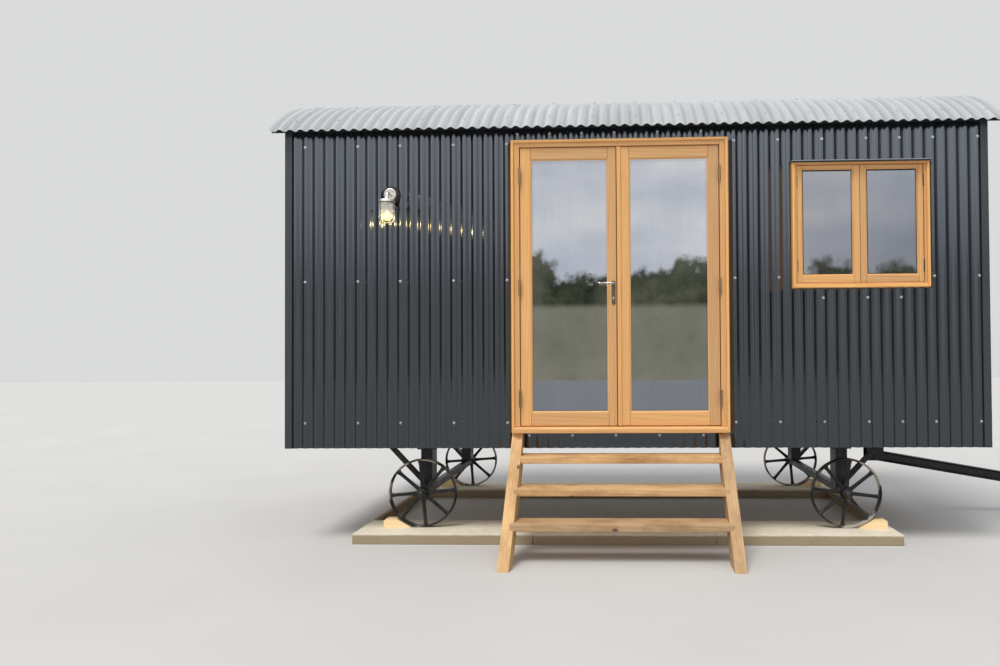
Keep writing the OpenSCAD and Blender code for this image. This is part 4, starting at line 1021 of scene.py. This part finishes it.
CHOCK_HEIGHT, CHOCK_WIDTH, CHOCK_GAP = 0.062, 0.090, 0.005
chock_end = span("wheel_chocks")[0][1]
angle = math.acos((WHEEL_RADIUS - CHOCK_HEIGHT / 2) / WHEEL_RADIUS)
start = AXLE_X + (WHEEL_RADIUS + CHOCK_GAP - WHEEL_RADIUS * math.cos(angle)) / math.sin(angle)
for sx in (-1, 1):
    for sy in (-1, 1):
        outline = [(sx * x, slab_top + z) for x, z in (
            (start, 0), (chock_end, 0), (chock_end, 0.050), (chock_end - 0.014, CHOCK_HEIGHT),
            (start + CHOCK_HEIGHT / math.tan(angle), CHOCK_HEIGHT))]
        near, far = sy * WHEEL_Y - CHOCK_WIDTH / 2, sy * WHEEL_Y + CHOCK_WIDTH / 2
        chocks.prism(outline, near, far, "xz", "x", 0.003, 0.9)
chocks.piece("chock_blocks", CHOCK, ("wheel_chocks",), "chock_wood", 40)


# Wheels
SPOKES = 8
HALF_TYRE = [(0, 26), (1.5, 29.6), (4.5, 30), (8.5, 29.2), (9.8, 26), (9.5, 10), (14, 5)]
TYRE_PROFILE = [(WHEEL_RADIUS * 1000 - d, h) for d, h in
                [(0, -26)] + HALF_TYRE + [(d, -h) for d, h in reversed(HALF_TYRE[1:])]]
HALF_HUB = [(30, 54.5), (36, 51), (38, 45), (36, 28), (41, 16), (45, 6)]
HUB_PROFILE = [(0, 54.5)] + HALF_HUB + [(45, -6), (41, -16), (36, -28), (38, -45), (36, -52), (30, -54.5),
                                        (20.6, -54.5)]
CAP_PROFILE = [(0, 76.8), (8, 76.4), (17, 73.5), (23.5, 68), (26.2, 61), (27, 58.5), (27.8, 57.5),
               (27.8, 54.6), (0, 54.6)]
# Along a spoke: the distance from the hub's middle, half its width and its thickness
SPOKE_RINGS = ((0.030, 0.019, 0.0120), (0.048, 0.0145, 0.0085), (0.080, 0.0125, 0.0080),
               (0.150, 0.0115, 0.0078), (0.205, 0.0120, 0.0078), (0.226, 0.0150, 0.0085),
               (WHEEL_RADIUS - 0.0110, 0.0210, 0.0100))
# Across a spoke: a flat bar with a rib on each face
SPOKE_SECTION = ((-1, -0.55), (-0.55, -0.62), (-0.26, -1), (0.26, -1), (0.55, -0.62), (1, -0.55),
                 (1, 0.55), (0.55, 0.62), (0.26, 1), (-0.26, 1), (-0.55, 0.62), (-1, 0.55))


def cast_wheel(name, x, y, side, turn):
    """Tyre, ribbed tapering spokes, a bossed hub and a domed cap on the outer side."""
    rim, casting, cap = Solid(), Solid(), Solid()
    centre = hut(x, y, slab_top + 0.0003 + WHEEL_RADIUS)
    outward = Vector((0, side, 0))
    out = turn_to(outward, centre)
    rim.turned(TYRE_PROFILE, 96, out, True)
    casting.turned(HUB_PROFILE, 48, out)
    cap.turned(CAP_PROFILE, 40, out)
    for k in range(SPOKES):
        c, s = polar(1, 360 * k / SPOKES + turn)
        along, across = Vector((c, 0, s)), Vector((-s, 0, c))
        spoke = bmesh.new()
        casting.loft(spoke, [[centre + along * reach + across * (u * w) + outward * (v * t * 1.25)
                              for u, v in SPOKE_SECTION] for reach, w, t in SPOKE_RINGS])
        casting.take(spoke)
        # A rivet boss where the spoke meets the rim
        boss = centre + along * (WHEEL_RADIUS - 0.026)
        casting.turned([(0, 13.5), (4.5, 12.8), (6.6, 10.5), (7.2, 6)], 12, turn_to(outward, boss))
    casting.piece(name + "_casting", BLACK, (name,), "black_iron", 35, name)
    rim.piece(name + "_tyre", TYRE, (), "black_iron", 35, name)
    cap.piece(name + "_cap", BLACK, (), "black_iron", 35, name)


for name, sx, sy, turn in (("front_left_wheel", -1, -1, 5), ("front_right_wheel", 1, -1, -7),
                           ("rear_left_wheel", -1, 1, 4), ("rear_right_wheel", 1, 1, 5)):
    cast_wheel(name, sx * AXLE_X, sy * WHEEL_Y, sy, turn)


# Running gear and drawbar
def bolt(solid, place, direction, size=11.0, height=8.0):
    """A hexagon head on a washer; size and height are in millimetres."""
    m = turn_to(direction, place)
    solid.turned([(size * 1.5, 0), (size * 1.5, 1.8), (size * 1.35, 2.4), (0, 2.4)], 18, m)
    solid.turned([(size, 2.4), (size, height), (size * 0.85, height + 1.4), (0, height + 1.4)], 6, m)


POST_FACE_Y, STRUT_Y, HALF_POST = 0.710 + 0.070, 0.7325, 0.070
strut_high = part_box("axle_struts")[1].z
gear = Solid()
for sx in (-1, 1):
    for sy in (-1, 1):
        out = (0, sy, 0)
        for z in (0.40, 0.60):
            for x in (AXLE_X - 0.022, AXLE_X + 0.022):
                bolt(gear, hut(sx * x, sy * POST_FACE_Y, z), out)
        bolt(gear, hut(sx * (AXLE_X + 0.262), sy * STRUT_Y, strut_high - 0.022), out, 9.0)
        pad_x = ordered(sx * (AXLE_X - HALF_POST), sx * (AXLE_X + HALF_POST))
        gear.put(pad_x, ordered(sy * 0.640, sy * 0.790), (strut_high - 0.012, strut_high - 0.001), "x")
gear.piece("running_gear_bolts", BLACK, (), "black_iron", 35)

PIVOT_X, PIVOT_Z = 2.028, 0.483
SLOPE = math.radians(9.8)
EYE_RADIUS, EYE_NECK, EYE_HALF = 0.055, 0.060, 0.015
along = Vector((math.cos(SLOPE), 0, -math.sin(SLOPE)))
lift = Vector((math.sin(SLOPE), 0, math.cos(SLOPE)))
eye_low = EYE_HALF * math.cos(SLOPE) + EYE_RADIUS * math.sin(SLOPE)
eye_far = (PIVOT_Z - 0.0003 - eye_low) / math.sin(SLOPE)
bar_end = eye_far - EYE_RADIUS - EYE_NECK


def on_bar(d, y, h):
    """A place along, across and above the drawbar's middle line."""
    return hut(PIVOT_X, 0, PIVOT_Z) + along * d + Vector((0, y, 0)) + lift * h


def bar_frame(d):
    place = on_bar(d, 0, 0)
    return Matrix((*zip(along, (0, 1, 0), lift, place), (0, 0, 0, 1)))


bar = Solid()
beam = bmesh.new()
# A rolled section with a flange above and below its web: a quarter of it, mirrored both ways
W, H, LIP, ROOT, WEB, FILLET = 0.040, 0.041, 0.0060, 0.01125, 0.0055, 0.006
quarter = [(W, H - LIP), (WEB + FILLET, H - ROOT), (WEB, H - ROOT - FILLET)]
section = [(-W, -H), (W, -H)] + [(y, -z) for y, z in quarter] + quarter[::-1] + [(W, H), (-W, H)]
section += [(-y, z) for y, z in quarter] + [(-y, -z) for y, z in reversed(quarter)]
bar.loft(beam, [[on_bar(d, y, z) for y, z in section] for d in (-0.055, bar_end)])
bar.take(beam)
for d, y, h, bevel in (((-0.045, 0.045), (-0.0395, -0.0060), (-0.030, 0.030), 0.002),
                       ((-0.045, 0.045), (0.0060, 0.0395), (-0.030, 0.030), 0.002),
                       ((bar_end - 0.14, bar_end + 0.004), (-0.0300, 0.0300), (-0.0295, 0.0295), 0.004),
                       ((bar_end, eye_far - 0.030), (-0.025, 0.025), (-0.0148, 0.0148), 0.004)):
    block = Solid()
    block.board(d, y, h, "x", bevel)
    bar.take(block.bm, "x", None, bar_frame(0))
bar.turned([(25.2, -11.8), (28.5, -15), (52, -15), (55, -11), (55, 11), (52, 15), (28.5, 15), (25.2, 11.8)],
           56, bar_frame(eye_far), True)
for d in (bar_end - 0.11, bar_end - 0.04):
    for side in (-1, 1):
        bolt(bar, on_bar(d, side * 0.0300, 0), (0, side, 0), 9.0)
bar.piece("drawbar_beam", BLACK, ("drawbar",), "black_iron", 30, "drawbar")

# Wall lamp
lamp_x, (BLOCK_Y, block_back), lamp_z = span("lamp_block")
LX, LZ = middle(lamp_x), middle(lamp_z)
_, jar_y, (GLASS_LOW, GLASS_TOP) = span("lamp_glass")
AXIS_Y = middle(jar_y)
CAP_LOW = GLASS_TOP + 0.0003
CAGE_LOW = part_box("lamp_cage")[0].z


def on_axis(z):
    return turn_to(UP, hut(LX, AXIS_Y, z))


def spots(m, count, first, radius):
    """Places spaced evenly round the axis of a turned part."""
    for k in range(count):
        yield m @ Matrix.Translation((*polar(radius, first + 360 / count * k), 0))


block = Solid()
block.turned([(0, 13.8), (58, 13.8), (63, 12), (65.5, 8), (66, 0), (0, 0)], 48,
             turn_to(OUT, hut(LX, block_back, LZ)))
block.piece("lamp_backplate", BLACK_RUBBER_AND_SHADOW, ("lamp_block",), "black_iron", 40)

case = Solid()
m = turn_to(OUT, hut(LX, BLOCK_Y - 0.0003, LZ))
case.turned([(0, 24.5), (30, 24.5), (34.5, 26.5), (38.5, 27.8), (42.5, 26), (44.5, 22), (45, 17), (45, 5),
             (46, 3), (46, 0), (0, 0)], 48, m)
for spot in spots(m, 3, 90, 0.0265):
    case.turned([(0, 27.2), (3.5, 26.8), (4.6, 25), (4.6, 24)], 10, spot)
case.turned([(0, 28), (6.5, 27.2), (9, 25), (9, 24)], 16, m)
# Elbow from the box down to the cap
BEND = 0.030
elbow = [hut(LX, BLOCK_Y - 0.020, LZ)]
for a in range(0, 91, 15):
    c, s = polar(BEND, a)
    elbow.append(hut(LX, AXIS_Y + BEND - s, LZ - BEND + c))
elbow.append(hut(LX, AXIS_Y, CAP_LOW + 0.016))
case.rod(elbow, [0.0105] * (len(elbow) - 1) + [0.013], 20)
m = on_axis(CAP_LOW)
case.turned([(41, 0), (56.5, 0), (57, 1.5), (57, 8), (55.6, 9.8), (55.2, 12), (55.8, 14), (53.5, 18),
             (44, 22.2), (27, 26.5), (16, 30), (13.5, 34.5), (12.5, 42), (0, 42)], 48, m)
for spot in spots(m, 4, 45, 0.0490):
    case.turned([(0, 21.5), (3.8, 21), (5.2, 19.5), (5.2, 10)], 10, spot)
case.piece("lamp_case", LAMP_METAL, ("lamp_body",), "steel", 35)
gasket = Solid()
gasket.turned([(42.3, -5.2), (50, -5.2), (53.5, -4), (53.5, -0.4), (42.3, -0.4)], 40, m, True)
gasket.piece("lamp_gasket", BLACK_RUBBER_AND_SHADOW)

cage = Solid()
R_CAGE, R_FOOT, STRAIGHT, WIRE = 0.051, 0.015, 0.098, 0.0022
wire_low = CAGE_LOW + 0.0030
for radius, z, wire in ((R_CAGE, CAP_LOW - 0.0072, 0.0024), (R_CAGE, CAP_LOW - 0.058, WIRE),
                        (R_FOOT, wire_low, WIRE)):
    ring = [polar(radius, 7.5 * i) for i in range(48)]
    cage.rod([hut(LX + x, AXIS_Y + y, z) for x, y in ring], wire, 8, True)
drop = CAP_LOW - STRAIGHT - wire_low
path = [(R_CAGE, CAP_LOW - d) for d in (0.001, 0.050, STRAIGHT)]
for t in range(1, 8):
    c, s = polar(1, 90 * t / 7)
    path.append((R_FOOT + (R_CAGE - R_FOOT) * c, CAP_LOW - STRAIGHT - drop * s))
for k in range(6):
    c, s = polar(1, 30 + 60 * k)
    cage.rod([hut(LX + r * c, AXIS_Y + r * s, z) for r, z in path], WIRE, 8)
cage.piece("lamp_cage_wires", LAMP_METAL, ("lamp_cage",), "steel")

# The jar's glass, 3 mm thick with a round end, then the bulb and its holder
R_JAR, GLASS = 42, 3


def jar_wall(radius, shoulder):
    end = -((GLASS_TOP - GLASS_LOW) * 1000 - R_JAR)
    around = [polar(radius, a) for a in range(0, 91, 9)]
    return [(shoulder, -1), (radius, -3)] + [(x, end - z) for x, z in around]


jar, bulb, holder = Solid(), Solid(), Solid()
outer, inner = jar_wall(R_JAR, R_JAR - 1.5), jar_wall(R_JAR - GLASS, R_JAR - 2.5)
jar.turned(outer + inner[::-1], 48, on_axis(GLASS_TOP), True)
jar.piece("lamp_jar", LAMP_GLASS, ("lamp_glass",), "glass")
low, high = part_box("lamp_bulb")
m = on_axis(low.z + 0.022)
bulb_side = [polar(21.5, a) for a in range(0, 141, 10)]
bulb.turned([(s, -c) for c, s in bulb_side] + [(12.8, 24), (12.5, 34), (0, 34)], 32, m)
bulb.piece("lamp_bulb_glass", BULB, ("lamp_bulb",), "warm_light")
neck = (high.z - low.z) * 1000 - 26
holder.turned([(0, neck), (14.8, neck), (14.8, 45), (13.5, 34), (0, 34)], 24, m)
holder.piece("lamp_holder", plain("lamp_holder_ceramic", (0.62, 0.60, 0.55), 0.35), (), "steel", 40)

# Floor, duller in gloss than it is to the camera
FLOOR = 40
floor_look = Shader("studio_floor", 0.9)
mottle = floor_look.noise(floor_look.coords(), 0.8, 3, 0.5)
pale = floor_look.ramp(mottle, ((0.3, (0.61, 0.605, 0.595)), (0.7, (0.64, 0.635, 0.625))))
rays = floor_look.node("LightPath")
floor_look.colour(floor_look.mix(rays.outputs["Is Glossy Ray"], pale, (0.215, 0.23, 0.235)))
mesh = bpy.data.meshes.new("studio_floor")
corners = [(-FLOOR, -FLOOR, 0), (FLOOR, -FLOOR, 0), (FLOOR, FLOOR, 0), (-FLOOR, FLOOR, 0)]
mesh.from_pydata(corners, [], [(0, 1, 2, 3)])
new_object("studio_floor", mesh, floor_look.mat)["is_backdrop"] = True

# World: an even pale dome that lights the hut
world = bpy.data.worlds.new("studio")
bpy.context.scene.world = world
world.use_nodes = True
w = Nodes(world.node_tree)
x, _, z = w.place("Generated")
dome_light = w.tree.nodes["Background"]
dome_light.inputs["Strength"].default_value = 0.80
dome = w.ramp(z, ((0.0, 0.50), (0.45, (0.76, 0.77, 0.78)), (1.0, (0.98, 0.99, 1.02))))
w.link(dome, dome_light.inputs["Color"])

# What glass and gloss show: the same dome softly mottled, darker low down at the sides
mottled = w.noise(w.coords((1, 1, 3.2), output="Generated"), 3.2, 5, 0.5)
ragged = w.noise(w.coords(output="Generated"), 9, 7, 0.62)
squared = w.math("MULTIPLY", x, x)
veil = w.ramp(mottled, ((0.36, (0.70, 0.74, 0.85)), (0.50, (0.86, 0.88, 0.94)), (0.64, (1.06, 1.06, 1.04))))
low_down = w.ramp(z, ((0.02, 0.44), (0.12, 0.54), (0.23, 1.0), (0.34, 1.2)))
lower = w.over((1.0, 1.0, 1.0), low_down, squared, 0.02, 0.20)
upper = w.mix(1.0, veil, lower, "MULTIPLY")
# Under it a ragged dark line, which falls away to both sides, and a paler band
edge = w.math("MULTIPLY_ADD", ragged, -0.22, z)
open_sides = w.math("MULTIPLY_ADD", w.math("MULTIPLY", squared, squared), 0.9, edge)
band = w.ramp(ragged, ((0.35, (0.27, 0.265, 0.20)), (0.66, (0.40, 0.39, 0.31))))
dark = w.ramp(ragged, ((0.38, (0.02, 0.025, 0.012)), (0.66, (0.22, 0.23, 0.16))))
horizon = w.over(w.over(band, dark, z, 0.066, 0.074), upper, open_sides, 0.004, 0.020)
# Both sides of the studio are dark, which draws the corrugations
across = w.math("MULTIPLY_ADD", x, 0.5, 0.5)
edges = w.ramp(across, ((0.03, 0.02), (0.15, 1.25), (0.30, 1.20), (0.42, 0.94), (0.58, 0.94), (0.70, 1.02),
                        (0.85, 0.92), (0.97, 0.02)))
mirrored, backdrop = w.node("Background"), w.node("Background", Color=(0.70, 0.705, 0.71, 1))
w.link(w.mix(1.0, horizon, edges, "MULTIPLY"), mirrored.inputs["Color"])
rays = w.node("LightPath")
shown = dome_light.outputs["Background"]
for ray, back in (("Is Glossy Ray", mirrored), ("Is Camera Ray", backdrop)):
    either = w.node("MixShader")
    w.link(rays.outputs[ray], either.inputs["Fac"])
    w.link(shown, either.inputs[1])
    w.link(back.outputs["Background"], either.inputs[2])
    shown = either.outputs["Shader"]
w.link(shown, w.tree.nodes["World Output"].inputs["Surface"])


# Lights
def light(name, kind, place, energy, colour):
    data = bpy.data.lights.new(name, kind)
    data.energy = energy
    data.color = colour
    obj = new_object(name, data)
    obj.location = place
    return obj


SUN_PLACE, SUN_TARGET = hut(-2.5, -5.5, 11.0), hut(0, -1.1, 1.2)
sun = light("key_sun", "SUN", SUN_PLACE, 1.80, (1.0, 0.975, 0.935))
sun.data.angle = math.radians(24)
sun.rotation_mode = "QUATERNION"
sun.rotation_quaternion = (SUN_TARGET - SUN_PLACE).to_track_quat("-Z", "Y")
for side in (-1, 1):
    spark = light("bulb_light", "POINT", hut(LX + side * 0.060, AXIS_Y, 2.292), 0.24, (1.0, 0.72, 0.34))
    spark.data.shadow_soft_size = 0.012
    spark.visible_camera = False
    spark.visible_transmission = False

bpy.context.scene.view_settings.view_transform = "Standard"

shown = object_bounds()
